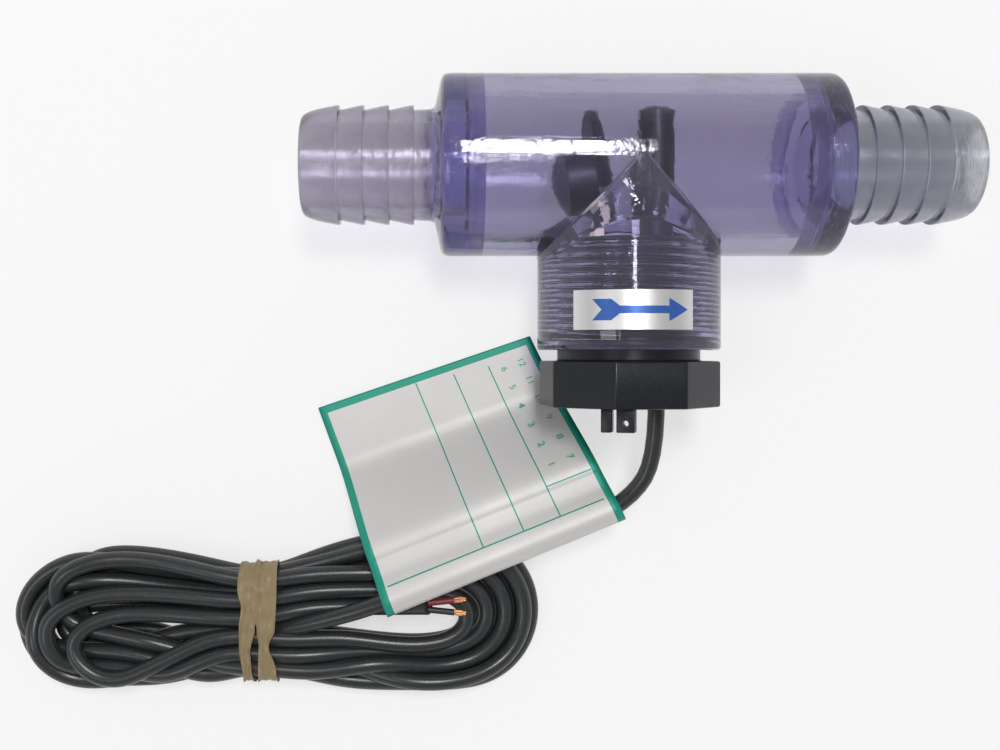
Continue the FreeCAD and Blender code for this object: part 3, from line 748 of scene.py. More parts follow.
def makePlug():
    # threaded shank, neck and octagonal head, with the cavity, the stem's hole and the spring's slot
    look = plugLook
    headStart = neckReach + look["headGap"]
    bevel = look["edgeBreak"]
    soft = look["neckRound"]
    rim = look["rimBreak"]
    neck = look["neckRadius"]
    cavity = look["cavityRadius"]
    cavityTop = plugTop + look["ceiling"]
    steps = look["threadSteps"]
    rows = []
    for turn in headAngles():
        head = headRadius(turn)
        row = [branchPoint(plugTop, 0, turn)]
        for j in range(steps + 1):
            a = plugTop + (neckReach - plugTop) * j / steps
            r = threadRadius(a, turn, look["clearance"])
            r -= look["topBreak"] * max(1 - (a - plugTop) / look["topBreak"], 0.0)
            leave = clamp((a - look["threadEnd"]) / look["threadFade"])
            r += (neck - r) * leave
            row.append(branchPoint(a, r, turn))
        row += [branchPoint(a, r, turn) for a, r in (
            (headStart - soft, neck), (headStart, neck + soft), (headStart, head - bevel),
            (headStart + bevel * 0.3, head - bevel * 0.3), (headStart + bevel, head),
            (headEnd - bevel, head), (headEnd - bevel * 0.3, head - bevel * 0.3), (headEnd, head - bevel),
            (headEnd, cavity + rim), (headEnd - rim, cavity), (cavityTop, cavity), (cavityTop, 0))]
        rows.append(row)
    body = gridMesh("plug", rows, loopRows=True, angle=30)
    x = tee.x + look["stemOffset"]
    over = look["cutOver"]
    hole = rodMesh("stemHole", (x, tee.y - plugTop + over, tee.z), (x, tee.y - cavityTop - over, tee.z),
                   look["stemHole"])
    low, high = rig.box("spring_wedge")
    stripLow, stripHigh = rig.box("leaf_spring")
    gap = look["slotGap"]
    slot = boxMesh("slot", (low.x - look["slotWiden"] - gap, low.y - gap, stripLow.z - gap),
                   (high.x + gap, tee.y - plugTop + over, stripHigh.z + gap))
    body = cutMesh(body, [hole, slot])
    work = bmesh.new()
    work.from_mesh(body)
    for peg in pegMeshes():
        work.from_mesh(peg)
    work.to_mesh(body)
    work.free()
    smoothFaces(body, 30)
    return body


neckPiece = meshPiece("neck", makeNeck(), "housing", neckPlastic, "clear_pvc")
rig.replaces(neckPiece, "branch_neck")
print("clear body made")

blackPlastic = mouldedPlastic("plugPlastic", {
    "colour": (0.014, 0.015, 0.019), "worn": (0.035, 0.035, 0.04), "wear": 0.35,
    "grain": 1500.0, "rough": (0.24, 0.36), "bump": 0.12, "fixed": {"Specular IOR Level": 0.28}})
stemPlastic = mouldedPlastic("stemPlastic", {
    "colour": (0.012, 0.012, 0.020), "worn": (0.03, 0.03, 0.04), "wear": 0.4,
    "grain": 900.0, "rough": (0.3, 0.45), "bump": 0.1})
paddlePlastic = mouldedPlastic("paddlePlastic", {
    "colour": (0.022, 0.018, 0.040), "worn": (0.05, 0.045, 0.075), "wear": 0.4,
    "grain": 900.0, "rough": (0.35, 0.5), "bump": 0.1})
capPlastic = mouldedPlastic("capPlastic", {
    "colour": (0.10, 0.085, 0.14), "worn": (0.15, 0.13, 0.19), "wear": 0.4,
    "grain": 900.0, "rough": (0.3, 0.45), "bump": 0.1})
creamStripPaintedGlow = mouldedPlastic("creamStripPaintedGlow", {
    "colour": (0.95, 0.84, 0.56), "worn": (0.88, 0.76, 0.5), "wear": 0.4,
    "grain": 1200.0, "rough": (0.35, 0.5), "bump": 0.1,
    # painted glow: the strip gives off a faint cream light of its own, so it reads brighter than the lamps make it
    "fixed": {"Emission Color": (0.95, 0.84, 0.60, 1), "Emission Strength": 0.6}})
pottingResin = mouldedPlastic("pottingResin", {
    "colour": (0.012, 0.012, 0.014), "worn": (0.03, 0.03, 0.03), "wear": 0.2,
    "grain": 250.0, "rough": (0.12, 0.25), "bump": 0.5})
for node, material in (("reed_stem", stemPlastic), ("spring_wedge", stemPlastic),
                       ("potting_fill", pottingResin), ("paddle_vane", paddlePlastic),
                       ("magnet_cap", capPlastic)):
    giveMaterial(nodes[node], material)
plugPiece = meshPiece("plug", makePlug(), "housing", blackPlastic, "black_plug")
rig.replaces(plugPiece, "plug_body")
print("plug made")

# a cream sleeve is moulded on the spring's free part, on its upstream side
springLook = {
    "thickness": 0.0004, "offset": -0.0051, "lean": 8.3, "rootY": -0.0064, "steps": 60, "round": 0.0003,
    "sleeve": 0.00068, "ramp": 0.0003, "sleeveStart": 0.0001, "sleeveEnd": -0.0001,
}


def makeSpring():
    # cream strip from the plug's slot to the paddle's root; it bends where it is free
    look = springLook
    low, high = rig.box("leaf_spring")
    lean = math.radians(look["lean"])
    x = tee.x + look["offset"]
    rootY = look["rootY"] + tee.y
    rows = []
    for i in range(look["steps"] + 1):
        y = low.y + (high.y - low.y) * i / look["steps"]
        over = max(y - rootY, 0.0)
        free = min(y - (tee.y - plugTop) - look["sleeveStart"], rootY + look["sleeveEnd"] - y)
        free = clamp(free / look["ramp"])
        half = look["thickness"] / 2 + free * look["sleeve"]
        middle = Vector((x - over * math.tan(lean) - free * look["sleeve"], y, 0))
        bevel = min(half * 0.6, look["round"])
        near = half - bevel * 0.4
        corners = ((-near, low.z), (near, low.z), (half, low.z + bevel), (half, high.z - bevel),
                   (near, high.z), (-near, high.z), (-half, high.z - bevel), (-half, low.z + bevel))
        rows.append([middle + Vector((dx, 0, z)) for dx, z in corners])
    mesh = gridMesh("leafSpring", rows, loopColumns=True, angle=40)
    work = bmesh.new()
    work.from_mesh(mesh)
    bmesh.ops.holes_fill(work, edges=work.edges[:])
    work.to_mesh(mesh)
    work.free()
    return mesh


springPiece = addObject("leafSpring", makeSpring())
giveMaterial(springPiece, creamStripPaintedGlow)
springX = tee.x + springLook["offset"]
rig.blend(springPiece, "housing", "paddle", start=(springX, tee.y - plugTop, tee.z),
         end=(springX, tee.y + springLook["rootY"], tee.z))
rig.replaces(springPiece, "leaf_spring")
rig.slot(springPiece, "spring_strip")
print("spring made")

# one line from the plug through the label's fold into the hank
cable = {
    "diameter": 0.0032,
    "length": 1.83,
    "pitch": 0.00335,  # least distance between neighbouring runs
    "step": 0.004,  # distance between points in the hank
    "rounds": 60,  # of settling; many more of them put a kink in the line
    # settling: fall and pulls in each round, neighbours along the line that don't push each other,
    # top of the heap, and half the length that the band holds
    "fall": 0.00004, "stiff": 0.35, "home": 0.012, "push": 0.42, "neighbours": 0.014,
    "heapTop": 0.0083, "heldHalf": 0.0045, "lengthRounds": 4,
    # rounds of smoothing for the lead, the hank, and the bends that the hank keeps
    "smoothing": (30, 6, 40),
    "waistX": -0.0713,
    "waistY": -0.0704,
    "waistBottom": 0.0030,
    "rowPitch": 0.00255,
    "route": [
        (0.0036, -0.0204, 0.0167),
        (0.0046, -0.0368, 0.0159),
        (-0.0006, -0.0469, 0.0130),
        (-0.0176, -0.0542, 0.0127),
        (-0.0466, -0.0658, 0.0127),
        (-0.0605, -0.0702, 0.0094),
        (-0.0690, -0.0723, 0.0062),
    ],
    # each turn's place at the waist: places across from the middle, row up from the table
    "slots": [(0, 1), (0, 0), (1, 0), (2, 0), (2, 1), (1, 1), (2, 2), (1, 2), (0, 2)],
    # lobes: reach from the waist, upper and lower edge from its middle, height of the end
    "leftLobes": [
        (0.0400, 0.0040, -0.0085, 0.0020),
        (0.0440, 0.0065, -0.0100, 0.0018),
        (0.0470, 0.0095, -0.0110, 0.0018),
        (0.0390, 0.0125, -0.0050, 0.0020),
        (0.0465, 0.0105, -0.0085, 0.0050),
        (0.0445, 0.0080, -0.0110, 0.0050),
        (0.0400, 0.0128, -0.0020, 0.0075),
        (0.0430, 0.0060, -0.0105, 0.0080),
        (0.0375, 0.0015, -0.0110, 0.0082),
    ],
    "rightLobes": [
        (0.0440, 0.0085, -0.0075, 0.0018),
        (0.0475, 0.0115, -0.0095, 0.0018),
        (0.0510, 0.0140, -0.0115, 0.0018),
        (0.0538, 0.0160, -0.0122, 0.0022),
        (0.0530, 0.0155, -0.0118, 0.0052),
        (0.0495, 0.0125, -0.0095, 0.0052),
        (0.0460, 0.0095, -0.0070, 0.0060),
        (0.0425, 0.0070, -0.0050, 0.0080),
    ],
    "begin": 0.004,  # from the waist
    "end": (-0.0382, -0.0666, 0.0107),
    "endLead": (-0.012, -0.0004, -0.001),
}


def slotPlace(slot, side):
    across, row = slot
    y = cable["waistY"] + side * cable["pitch"] * (across + 0.5)
    return y, cable["waistBottom"] + row * cable["rowPitch"]


def lobePoints(start, end, outward, lobe):
    # one lobe of a turn: out along one edge, round the end and back along the other
    reach, upper, lower, height = lobe
    edges = (lower, upper) if outward < 0 else (upper, lower)
    half = (upper - lower) / 2
    middle = cable["waistY"] + (upper + lower) / 2
    side = reach - half
    shares = (0.2, 0.4, 0.6, 0.8)
    points = []

    def addEdge(at, edge, order):
        for share in order:
            spread = math.sin(share * math.pi / 2) ** 1.4
            y = at[0] + (cable["waistY"] + edge - at[0]) * spread
            points.append((cable["waistX"] + outward * side * share, y, at[1] + (height - at[1]) * spread))

    addEdge(start, edges[0], shares)
    for i in range(9):
        turn = math.pi * i / 8
        y = middle + (edges[0] - edges[1]) / 2 * math.cos(turn)
        points.append((cable["waistX"] + outward * (side + half * math.sin(turn)), y, height))
    addEdge(end, edges[1], shares[::-1])
    return points


def hankPoints():
    points = []
    slots = cable["slots"]
    for i, slot in enumerate(slots):
        below = slotPlace(slot, -1)
        above = slotPlace(slot, 1)
        if i:
            points.append((cable["waistX"], *below))
        points += lobePoints(below, above, -1, cable["leftLobes"][i])
        points.append((cable["waistX"], *above))
        if i + 1 < len(slots):
            points += lobePoints(above, slotPlace(slots[i + 1], -1), 1, cable["rightLobes"][i])
    points.append(tuple(c + d for c, d in zip(cable["end"], cable["endLead"])))
    points.append(cable["end"])
    return points


def evenPoints(points, step):
    # the same line with points a fixed distance apart
    points = np.array(points)
    gaps = np.linalg.norm(np.diff(points, axis=0), axis=1)
    along = np.concatenate([[0], np.cumsum(gaps)])
    wanted = np.linspace(0, along[-1], int(round(along[-1] / step)) + 1)
    return np.stack([np.interp(wanted, along, points[:, i]) for i in range(3)], axis=1)


def smoothLine(points, rounds):
    points = points.copy()
    for _ in range(rounds):
        points[1:-1] = points[1:-1] * 0.5 + (points[:-2] + points[2:]) * 0.25
    return points


def settleHank(lead, hank):
    # pushes the runs apart, lets them down towards the table, and holds them together where the
    # band is; some runs still press into each other
    step = cable["step"] / 2
    leadRounds, hankRounds, bendRounds = cable["smoothing"]
    fixed = smoothLine(evenPoints(lead, step), leadRounds)
    loose = smoothLine(evenPoints(hank, step), hankRounds)
    start = loose.copy()
    rest = np.linalg.norm(np.diff(loose, axis=0), axis=1)
    shape = smoothLine(loose, bendRounds)
    bend = shape[1:-1] - (shape[:-2] + shape[2:]) / 2
    count = len(loose)
    allStart = len(fixed)
    order = np.arange(allStart + count)
    skip = int(cable["neighbours"] / step)
    radius = cable["diameter"] / 2
    low, high = (np.array(corner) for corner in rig.box("cable_hank"))
    slots = cable["slots"]
    halfWaist = (max(s[0] for s in slots) + 0.5) * cable["pitch"]
    topWaist = cable["waistBottom"] + max(s[1] for s in slots) * cable["rowPitch"]
    for turn in range(cable["rounds"]):
        calm = turn / cable["rounds"]
        loose[:, 2] -= cable["fall"] * (1 - calm)
        loose[1:-1] += cable["stiff"] * ((loose[:-2] + loose[2:]) / 2 + bend - loose[1:-1])
        loose[:, :2] += cable["home"] * (start[:, :2] - loose[:, :2])
        everything = np.concatenate([fixed, loose])
        away = everything[None, :, :] - loose[:, None, :]
        distance = np.sqrt((away ** 2).sum(axis=2)) + 1e-9
        apart = np.abs(order[None, :] - (np.arange(count) + allStart)[:, None])
        close = (distance < cable["pitch"]) & (apart > skip)
        push = np.where(close, (cable["pitch"] - distance) / distance, 0.0)
        loose -= cable["push"] * (away * push[:, :, None]).sum(axis=1)
        for _ in range(cable["lengthRounds"]):
            gap = np.diff(loose, axis=0)
            size = np.linalg.norm(gap, axis=1)
            fix = gap * ((size - rest) / size * 0.5)[:, None]
            loose[:-1] += fix
            loose[1:] -= fix
        loose[:, :2] = np.clip(loose[:, :2], low[:2] + radius, high[:2] - radius)
        loose[:, 2] = np.clip(loose[:, 2], radius + 0.0001, cable["heapTop"])
        held = np.abs(loose[:, 0] - cable["waistX"]) < cable["heldHalf"]
        loose[held, 1] = np.clip(loose[held, 1], cable["waistY"] - halfWaist, cable["waistY"] + halfWaist)
        loose[held, 2] = np.clip(loose[held, 2], cable["waistBottom"], topWaist)
        loose[0] = start[0]
        loose[-1] = start[-1]
    print("hank settled, closest runs", round(float(distance[apart > skip].min()) * 1000, 2), "mm")
    return smoothLine(loose, hankRounds)


def makeCable():
    lead = cable["route"]
    first = slotPlace(cable["slots"][0], -1)
    begin = (cable["waistX"] - cable["begin"], *first)
    hank = settleHank(lead, [begin] + hankPoints())
    points = [Vector(p) for p in lead] + [Vector(p) for p in hank[::2]]
    if (len(hank) - 1) % 2:
        points.append(Vector(hank[-1]))
    curve = bpy.data.curves.new("cable", "CURVE")
    curve.dimensions = "3D"
    curve.use_fill_caps = True
    curve.bevel_resolution = 5
    curve.resolution_u = 6
    spline = curve.splines.new("NURBS")
    spline.points.add(len(points) - 1)
    for spot, point in zip(spline.points, points):
        spot.co = (*point, 1)
    spline.order_u = 3
    spline.use_endpoint_u = True
    line = addObject("cableLine", curve)
    curve.bevel_depth = 0
    path = [tuple(vert.co) for vert in evaluated(line).vertices]
    curve.bevel_depth = cable["diameter"] / 2
    tube = evaluated(line)
    bpy.data.objects.remove(line)
    smoothFaces(tube, 60)
    return tube, path


cableJacket = mouldedPlastic("cableJacket", {
    "colour": (0.027, 0.029, 0.030), "worn": (0.055, 0.057, 0.058), "wear": 0.3,
    "grain": 900.0, "rough": (0.22, 0.36), "bump": 0.08})
cableTube, cablePath = makeCable()
cablePiece = meshPiece("cable", cableTube, "housing", cableJacket, "cable_jacket")
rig.replaces(cablePiece, "cable_lead", "cable_hank")
print("cable laid")

labelLook = {
    "width": 0.0478, "turn": 22.4, "skew": (0.0015, -0.0024), "tops": (0.0386, 0.0358),
    "sleeve": 0.0026, "layer": 0.00012, "gap": 0.00008, "inkLift": 0.00018, "steps": 60, "columns": 40,
    "flatFrom": 0.0275, "slopeFrom": 0.0085, "floor": 0.0009,
    "loop": ((8.0, -0.35), (5.2, 0.5), (2.6, 1.9), (0.2, 2.55), (-1.7, 1.9), (-2.5, 0.2),
             (-2.0, -1.6), (-0.2, -2.3), (2.4, -1.9), (5.2, -1.1), (8.0, -0.5)),  # millimetres
    "silver": (0.66, 0.65, 0.63), "shade": (0.60, 0.59, 0.575), "metal": 0.2, "rough": (0.42, 0.56),
    "grain": 60.0, "bump": 0.35,
    "teal": (0.012, 0.36, 0.25), "tealDark": (0.01, 0.25, 0.18), "border": 1.55,
    "belowFold": 10,  # the silver field runs on round the fold, with no border there
    # printed rules in millimetres across and up the label: middle and half size
    "rules": ((23.9, 3.0, 21.9, 0.13), (21.4, 20.0, 0.13, 17.0), (29.6, 19.6, 0.13, 16.6),
              (37.0, 19.2, 0.13, 16.2), (41.6, 9.2, 4.6, 0.13)),
    "numberSize": 0.0019, "numberColumns": (0.0398, 0.0437), "numberStart": 0.0122, "numberStep": 0.0039,
}


def foldPlace():
    # start of the cable's stretch inside the fold
    look = labelLook
    low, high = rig.box("cable_label")
    turn = math.radians(look["turn"])
    return Vector((low.x + look["tops"][0] * math.sin(turn) - look["skew"][0] * math.cos(turn),
                   low.y + look["sleeve"] * math.cos(turn), high.z - look["sleeve"]))


def loopCurve(points, count):
    # a smooth open curve through the loop's points
    line = []
    for i in range(len(points) - 1):
        before = Vector(points[max(i - 1, 0)])
        start, end = Vector(points[i]), Vector(points[i + 1])
        after = Vector(points[min(i + 2, len(points) - 1)])
        for j in range(count):
            t = j / count
            line.append(start + (end - before) * 0.5 * t
                        + (before * 2 - start * 5 + end * 4 - after) * 0.5 * t * t
                        + (start * 3 - before - end * 3 + after) * 0.5 * t * t * t)
    return line + [Vector(points[-1])]


def labelHeight(v):
    # height of the film over the fold's middle at a distance up the label
    look = labelLook
    drop = labelFold.z - look["floor"]
    share = clamp((v - look["slopeFrom"]) / (look["flatFrom"] - look["slopeFrom"]))
    start = look["loop"][0][1] * 0.001
    return start + (-drop - start) * share * share * (3 - 2 * share)


def labelPoint(s, v, height):
    look = labelLook
    lean = (1 - s) * look["skew"][0] / look["tops"][0] + s * look["skew"][1] / look["tops"][1]
    u = s * look["width"] + v * lean
    turn = math.radians(look["turn"])
    return Vector((labelFold.x + u * math.cos(turn) - v * math.sin(turn),
                   labelFold.y + u * math.sin(turn) + v * math.cos(turn), labelFold.z + height))


def makeLabel():
    # film folded round the cable and stuck to itself
    look = labelLook
    top = look["tops"][0]
    flat = []
    for i in range(look["steps"]):
        v = top + (look["loop"][0][0] * 0.001 - top) * i / look["steps"]
        flat.append((v, labelHeight(v)))
    loop = [(p.x * 0.001, p.y * 0.001) for p in loopCurve(look["loop"], 6)]
    spread = look["gap"]
    section = [(v, z + spread) for v, z in flat] + loop + [(v, z - spread) for v, z in reversed(flat)]
    columns = look["columns"]
    rows = []
    marks = []
    for i in range(columns + 1):
        s = i / columns
        row = []
        for v, z in section:
            reach = v * (1 - s + s * look["tops"][1] / look["tops"][0]) if v > 0 else v
            row.append(labelPoint(s, reach, z))
            marks.append((s * look["width"] * 1000, v * 1000, 0))
        rows.append(row)
    mesh = bpy.data.meshes.new("label")
    size = len(section)
    faces = [(i * size + j, i * size + j + 1, (i + 1) * size + j + 1, (i + 1) * size + j)
             for i in range(columns) for j in range(size - 1)]
    mesh.from_pydata([p for row in rows for p in row], [], faces)
    place = mesh.attributes.new("filmPlace", "FLOAT_VECTOR", "POINT")
    place.data.foreach_set("vector", [c for mark in marks for c in mark])
    smoothFaces(mesh, 60)
    return mesh


def filmMaterial(name, look):
    # silvered film with teal printing
    material, tree, shader, _ = newMaterial(name)
    place = addNode(tree, "ShaderNodeAttribute", (-1600, 0), attribute_name="filmPlace")
    split = addNode(tree, "ShaderNodeSeparateXYZ", (-1400, 0))
    connect(tree, (place, "Vector", split, 0))

    def inside(middle, half, row):
        x = mathNode(tree, (-1150, row), "COMPARE")
        y = mathNode(tree, (-1150, row - 60), "COMPARE")
        both = mathNode(tree, (-950, row), "MULTIPLY")
        for node, output, i in ((x, "X", 0), (y, "Y", 1)):
            node.inputs[1].default_value = middle[i]
            node.inputs[2].default_value = half[i]
            connect(tree, (split, output, node, 0), (node, 0, both, i))
        return both

    width, top = look["width"] * 1000, look["tops"][0] * 1000
    border = look["border"]
    below = look["belowFold"]
    field = inside((width / 2, (top - border) / 2 - below),
                   (width / 2 - border, (top - border) / 2 + below), 300)
    printed = mathNode(tree, (-700, 300), "SUBTRACT")
    printed.inputs[0].default_value = 1.0
    connect(tree, (field, 0, printed, 1))
    for i, (x, y, halfX, halfY) in enumerate(look["rules"]):
        rule = inside((x, y), (halfX, halfY), 150 - 150 * i)
        both = mathNode(tree, (-700 + 40 * i, 150 - 150 * i), "MAXIMUM")
        connect(tree, (printed, 0, both, 0), (rule, 0, both, 1))
        printed = both
    marks = addNode(tree, "ShaderNodeGroup", (-600, -700), node_tree=handlingMarks)
    setInputs(marks, {"Scale": look["grain"], "Stretch": 1.0})
    silver = mixColours(tree, (-300, -300), look["silver"], look["shade"])
    teal = mixColours(tree, (-300, -550), look["teal"], look["tealDark"])
    ink = mixColours(tree, (0, 0))
    rough = mapTo(tree, (-300, -800), look["rough"])
    bump = addNode(tree, "ShaderNodeBump", (200, -500))
    setInputs(bump, {"Strength": look["bump"], "Distance": 0.0004})
    connect(tree, (marks, "Blotch", silver, 0), (marks, "Blotch", teal, 0), (silver, 2, ink, 6),
            (teal, 2, ink, 7), (printed, 0, ink, 0), (ink, 2, shader, "Base Color"),
            (marks, "Blotch", rough, "Value"), (rough, 0, shader, "Roughness"),
            (marks, "Blotch", bump, "Height"), (bump, 0, shader, "Normal"))
    shader.inputs["Metallic"].default_value = look["metal"]
    return material


def makeNumbers():
    # plain numbers 1 to 12 in two columns, laid on the film
    look = labelLook
    work = bmesh.new()
    for number in range(1, 13):
        text = bpy.data.curves.new("number", "FONT")
        text.body = str(number)
        text.size = look["numberSize"]
        text.align_x = "CENTER"
        text.align_y = "CENTER"
        figure = addObject("number", text)
        mesh = evaluated(figure)
        bpy.data.objects.remove(figure)
        u = look["numberColumns"][(number - 1) // 6]
        v = look["numberStart"] + (number - 1) % 6 * look["numberStep"]
        for vert in mesh.vertices:
            across, up = u + vert.co.y, v - vert.co.x
            vert.co = labelPoint(across / look["width"], up, labelHeight(up) + look["inkLift"])
        work.from_mesh(mesh)
    mesh = bpy.data.meshes.new("numbers")
    work.to_mesh(mesh)
    work.free()
    return mesh


labelFold = foldPlace()
labelPiece = meshPiece("label", makeLabel(), "housing", filmMaterial("labelFilm", labelLook), "label_film")
thick = labelPiece.modifiers.new("thickness", "SOLIDIFY")
thick.thickness = labelLook["layer"]
thick.offset = 0
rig.replaces(labelPiece, "cable_label")
tealInk = mouldedPlastic("tealInk", {
    "colour": labelLook["teal"], "worn": labelLook["tealDark"], "wear": 0.8,
    "grain": 1500.0, "rough": (0.35, 0.5), "bump": 0.05})
numbersPiece = meshPiece("labelNumbers", makeNumbers(), "housing", tealInk, "label_film")
print("label made")

bandLook = {
    "middle": (-0.0704, 0.0057), "half": (0.0104, 0.0043), "corner": 0.0036, "thickness": 0.0006,
    "x": -0.0705, "steps": 120, "across": 10,
    "ripple": 0.0002, "lap": 0.00012, "curl": 0.00035, "wave": 0.00010,
    # straps: share of the turn (0 at the top of the far side, going over the top), middle, width
    "straps": (
        ((0.0, -0.0018, 0.0040), (0.06, -0.0014, 0.0034), (0.14, -0.0020, 0.0030), (0.22, -0.0024, 0.0021),
         (0.29, -0.0020, 0.0017), (0.40, -0.0019, 0.0026), (0.7, -0.0012, 0.0036), (1.0, -0.0018, 0.0040)),
        ((0.0, 0.0014, 0.0044), (0.06, 0.0012, 0.0046), (0.14, 0.0016, 0.0034), (0.20, 0.0012, 0.0019),
         (0.29, 0.0018, 0.0034), (0.40, 0.0014, 0.0042), (0.7, 0.0010, 0.0038), (1.0, 0.0014, 0.0044)),
    ),
    "colour": (0.27, 0.20, 0.10), "worn": (0.38, 0.29, 0.17),
}


def swing(arrow, turn):
    return Vector((arrow.x * math.cos(turn) - arrow.y * math.sin(turn),
                   arrow.x * math.sin(turn) + arrow.y * math.cos(turn)))


def bandSpot(share):
    # point and outward direction on the rounded outline of the tied turns, from the far top edge
    look = bandLook
    halfY, halfZ = look["half"]
    r = look["corner"]
    flatY, flatZ = 2 * (halfY - r), 2 * (halfZ - r)
    quarter = math.pi * r / 2
    runs = ((flatY, 0), (quarter, 1), (flatZ, 0), (quarter, 1)) * 2
    total = sum(run[0] for run in runs)
    left = share % 1.0 * total
    spot = Vector((halfY - r, halfZ))
    heading = Vector((-1, 0))
    for length, curved in runs:
        go = min(left, length)
        if curved:
            out = Vector((-heading.y, heading.x)) * -1
            middle = spot - out * r
            spot = middle + swing(out, go / r) * r
            heading = swing(heading, go / r)
        else:
            spot = spot + heading * go
        left -= go
        if left <= 0:
            break
    return spot, Vector((heading.y, -heading.x))


def strapAt(strap, share):
    # middle and width of a strap at a share of the turn
    for near, far in zip(strap, strap[1:]):
        if near[0] <= share <= far[0]:
            t = (share - near[0]) / (far[0] - near[0])
            t = t * t * (3 - 2 * t)
            return near[1] + (far[1] - near[1]) * t, near[2] + (far[2] - near[2]) * t
    return strap[-1][1:]


def makeBand():
    # rubber band wound twice: its two straps part over the top and lie together below
    look = bandLook
    work = bmesh.new()
    for k, strap in enumerate(look["straps"]):
        rows = []
        for i in range(look["steps"]):
            share = i / look["steps"]
            spot, out = bandSpot(share)
            middle, width = strapAt(strap, share)
            ring = []
            lift = look["ripple"] * math.sin(40 * share + 2 * k) ** 2 + look["lap"] * k
            for j in range(look["across"] + 1):
                t = j / look["across"] * 2 - 1
                curl = look["curl"] * abs(t) ** 3 + look["wave"] * math.sin(9 * t + 25 * share + k)
                ring.append((look["x"] + middle + t * width / 2, lift + curl))
            outer = [(x, h + look["thickness"]) for x, h in ring]
            inner = [(x, h) for x, h in reversed(ring)]
            row = []
            for x, h in outer + inner:
                at = spot + out * h
                row.append(Vector((x, look["middle"][0] + at.x, look["middle"][1] + at.y)))
            rows.append(row)
        work.from_mesh(gridMesh("strap", rows, loopRows=True, loopColumns=True, angle=60))
    return meshFrom(work, "band", 60)


bandRubber = mouldedPlastic("bandRubber", {
    "colour": bandLook["colour"], "worn": bandLook["worn"], "wear": 0.9,
    "grain": 450.0, "stretch": 3.0, "rough": (0.45, 0.65), "bump": 0.5})
bandPiece = meshPiece("band", makeBand(), "housing", bandRubber, "band_rubber")
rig.replaces(bandPiece, "hank_band")
print("band made")

# the strands stand in a ring, spread towards their ends, and end unevenly
tailLook = {"radius": 0.0006, "bare": 0.0022, "strand": 0.00017, "ring": 2.1, "buried": 0.0005,
            "spread": (0.9, 1.15), "uneven": 0.0003}


def makeTail(node):
    # insulated core, then its bare copper strands
    look = tailLook
    low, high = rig.box(node)
    r = look["radius"]
    ends = (high.y - r, low.y + r) if node == "tail_black" else (low.y + r, high.y - r)
    start, end = Vector((low.x, ends[0], low.z + r)), Vector((high.x, ends[1], low.z + r))
    along = (end - start).normalized()
    strip = end - along * look["bare"]
    core = rodMesh("core", start, strip, r, 24)
    work = bmesh.new()
    side = along.orthogonal().normalized()
    for i in range(7):
        turn = Matrix.Rotation(2 * math.pi * i / 6, 3, along)
        offset = turn @ side * (look["strand"] * look["ring"] if i < 6 else 0)
        near = strip - along * look["buried"] + offset * look["spread"][0]
        far = end + offset * look["spread"][1] - along * look["uneven"] * (i % 3)
        work.from_mesh(rodMesh("strand", near, far, look["strand"], 10))
    return core, meshFrom(work, "strands", 40)


coreBlack = mouldedPlastic("coreBlack", {
    "colour": (0.02, 0.02, 0.022), "worn": (0.05, 0.05, 0.05), "wear": 0.3,
    "grain": 1500.0, "rough": (0.35, 0.5), "bump": 0.1})
# the red is darkened as painted shade, standing in for the label's shadow over the tail; the red wire inside the stem
# takes this colour too
coreRed = mouldedPlastic("coreRed", {
    "colour": (0.20, 0.018, 0.022), "worn": (0.26, 0.05, 0.05), "wear": 0.3,
    "grain": 1500.0, "rough": (0.35, 0.5), "bump": 0.1})
copperWire = mouldedPlastic("copperWire", {
    "colour": (0.55, 0.26, 0.14), "worn": (0.62, 0.40, 0.26), "wear": 0.8,
    "grain": 3000.0, "rough": (0.22, 0.4), "bump": 0.1, "fixed": {"Metallic": 1.0}})
tailPieces = []
for node, colour, material, slotName in (("tail_black", "Black", coreBlack, "black_core"),
                                        ("tail_red", "Red", coreRed, "red_core")):
    core, wires = makeTail(node)
    corePiece = meshPiece("core" + colour, core, "housing", material, slotName)
    wirePiece = meshPiece("strands" + colour, wires, "housing", copperWire, slotName)
    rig.replaces(corePiece, node)
    tailPieces += [corePiece, wirePiece]

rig.cord(cablePiece, exit=cable["route"][0], length=cable["length"], diameter=cable["diameter"],
        far_end="bare", stiffness="medium", lay="coiled", path=cablePath,
        with_pieces=[bandPiece, labelPiece, numbersPiece] + tailPieces)
print("cord declared")

stickerLook = {
    "silver": (0.80, 0.79, 0.80), "worn": (0.70, 0.70, 0.71), "blue": (0.04, 0.13, 0.46),
    "blueWorn": (0.08, 0.19, 0.52), "thickness": 0.00015, "lift": 0.00003, "middle": -0.02,
    "fold": 0.0005,  # distance between the cuts that let the arrow bend
    # arrow in millimetres: along the flow and across it
    "arrow": ((-8.6, 1.85), (-5.2, 1.85), (-3.7, 0.66), (4.9, 0.66), (4.9, 2.0), (8.6, 0.0),
              (4.9, -2.0), (4.9, -0.66), (-3.7, -0.66), (-5.2, -1.85), (-8.6, -1.85), (-6.9, 0.0)),
}


def makeArrow():
    # arrow printed on the curved sticker, downstream
    look = stickerLook
    low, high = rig.box("flow_arrow_label")
    middle = (low.y + high.y) / 2
    radius = tubeRadius + look["thickness"] + look["lift"]
    work = bmesh.new()
    verts = [work.verts.new((x * 0.001, y * 0.001, 0)) for x, y in look["arrow"]]
    work.faces.new(verts)
    for i in range(-17, 18):
        bmesh.ops.bisect_plane(work, geom=work.verts[:] + work.edges[:] + work.faces[:],
                               plane_co=(i * look["fold"], 0, 0), plane_no=(1, 0, 0))
    for vert in work.verts:
        turn = look["middle"] + vert.co.x / radius
        vert.co = Vector((tee.x + radius * math.sin(turn), middle + vert.co.y,
                          tee.z + radius * math.cos(turn)))
    mesh = bpy.data.meshes.new("arrow")
    work.to_mesh(mesh)
    work.free()
    tidyNormals(mesh)
    smoothFaces(mesh, 60)
    return mesh


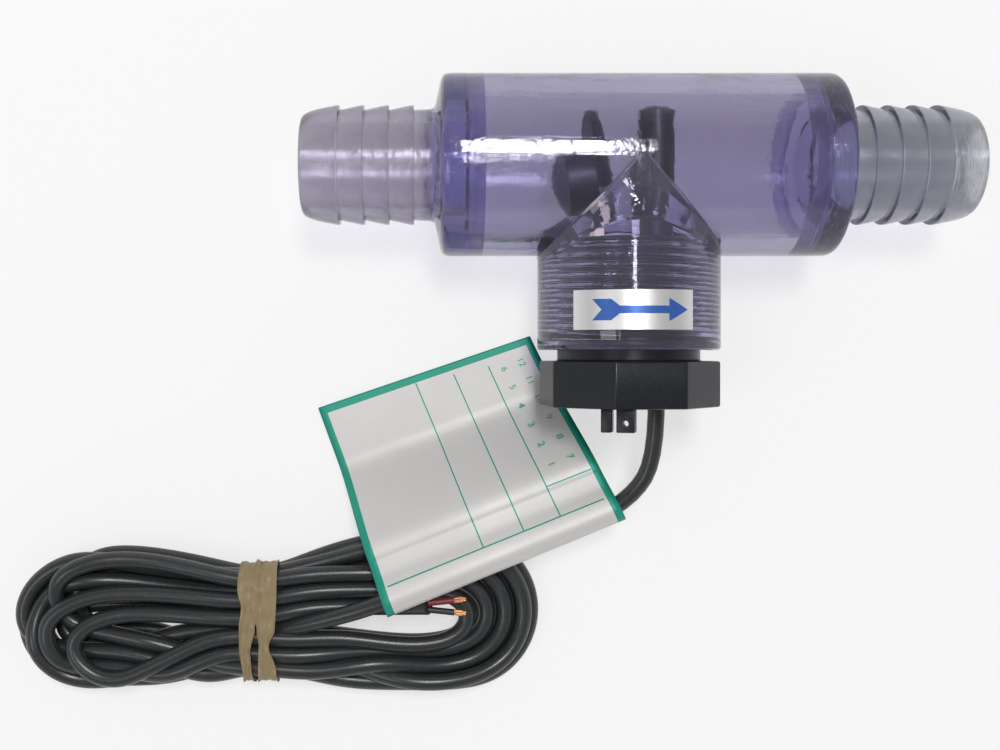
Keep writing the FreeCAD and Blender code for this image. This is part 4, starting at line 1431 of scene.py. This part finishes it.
silverFoil = mouldedPlastic("silverFoil", {
    "colour": stickerLook["silver"], "worn": stickerLook["worn"], "wear": 0.5,
    "grain": 900.0, "stretch": 0.2, "rough": (0.26, 0.38), "bump": 0.12, "fixed": {"Metallic": 0.75}})
giveMaterial(nodes["flow_arrow_label"], silverFoil)
blueInk = mouldedPlastic("blueInk", {
    "colour": stickerLook["blue"], "worn": stickerLook["blueWorn"], "wear": 0.6,
    "grain": 1500.0, "rough": (0.25, 0.35), "bump": 0.05, "fixed": {"Metallic": 0.35}})
meshPiece("flowArrow", makeArrow(), "housing", blueInk, "silver_sticker")
print("sticker made")

reedMetal = mouldedPlastic("reedMetal", {
    "colour": (0.55, 0.54, 0.52), "worn": (0.65, 0.62, 0.58), "wear": 0.6,
    "grain": 4000.0, "rough": (0.18, 0.35), "bump": 0.05, "fixed": {"Metallic": 1.0}})
crimpMetal = mouldedPlastic("crimpMetal", {
    "colour": (0.62, 0.60, 0.57), "worn": (0.5, 0.49, 0.47), "wear": 0.7,
    "grain": 2500.0, "rough": (0.25, 0.45), "bump": 0.2, "fixed": {"Metallic": 1.0}})
magnetMetal = mouldedPlastic("magnetMetal", {
    "colour": (0.12, 0.12, 0.125), "worn": (0.2, 0.2, 0.2), "wear": 0.6,
    "grain": 1800.0, "rough": (0.35, 0.5), "bump": 0.3, "fixed": {"Metallic": 1.0}})
reedGlass = clearPlastic("reedGlass", dict(
    pipeLook, clear=0.95, colour=(0.88, 0.95, 0.90), cloud=(0.82, 0.92, 0.86), stretch=1.0,
    rough=(0.01, 0.04), bump=0.05, shade=(0.9, 0.95, 0.92), depthColour=(0.5, 0.8, 0.6), density=20.0))
for node, material in (("reed_blade_lower", reedMetal), ("reed_blade_upper", reedMetal),
                       ("splice_lower", crimpMetal), ("splice_upper", crimpMetal),
                       ("wire_black", coreBlack), ("wire_red", coreRed),
                       ("reed_glass", reedGlass), ("paddle_magnet", magnetMetal)):
    giveMaterial(nodes[node], material)
print("reed and wires finished")

bpy.context.view_layer.update()
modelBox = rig.bounds()
with open("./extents.json", "w") as file:
    json.dump({"cad": [list(corner) for corner in cadBox],
               "model": [list(corner) for corner in modelBox]}, file)
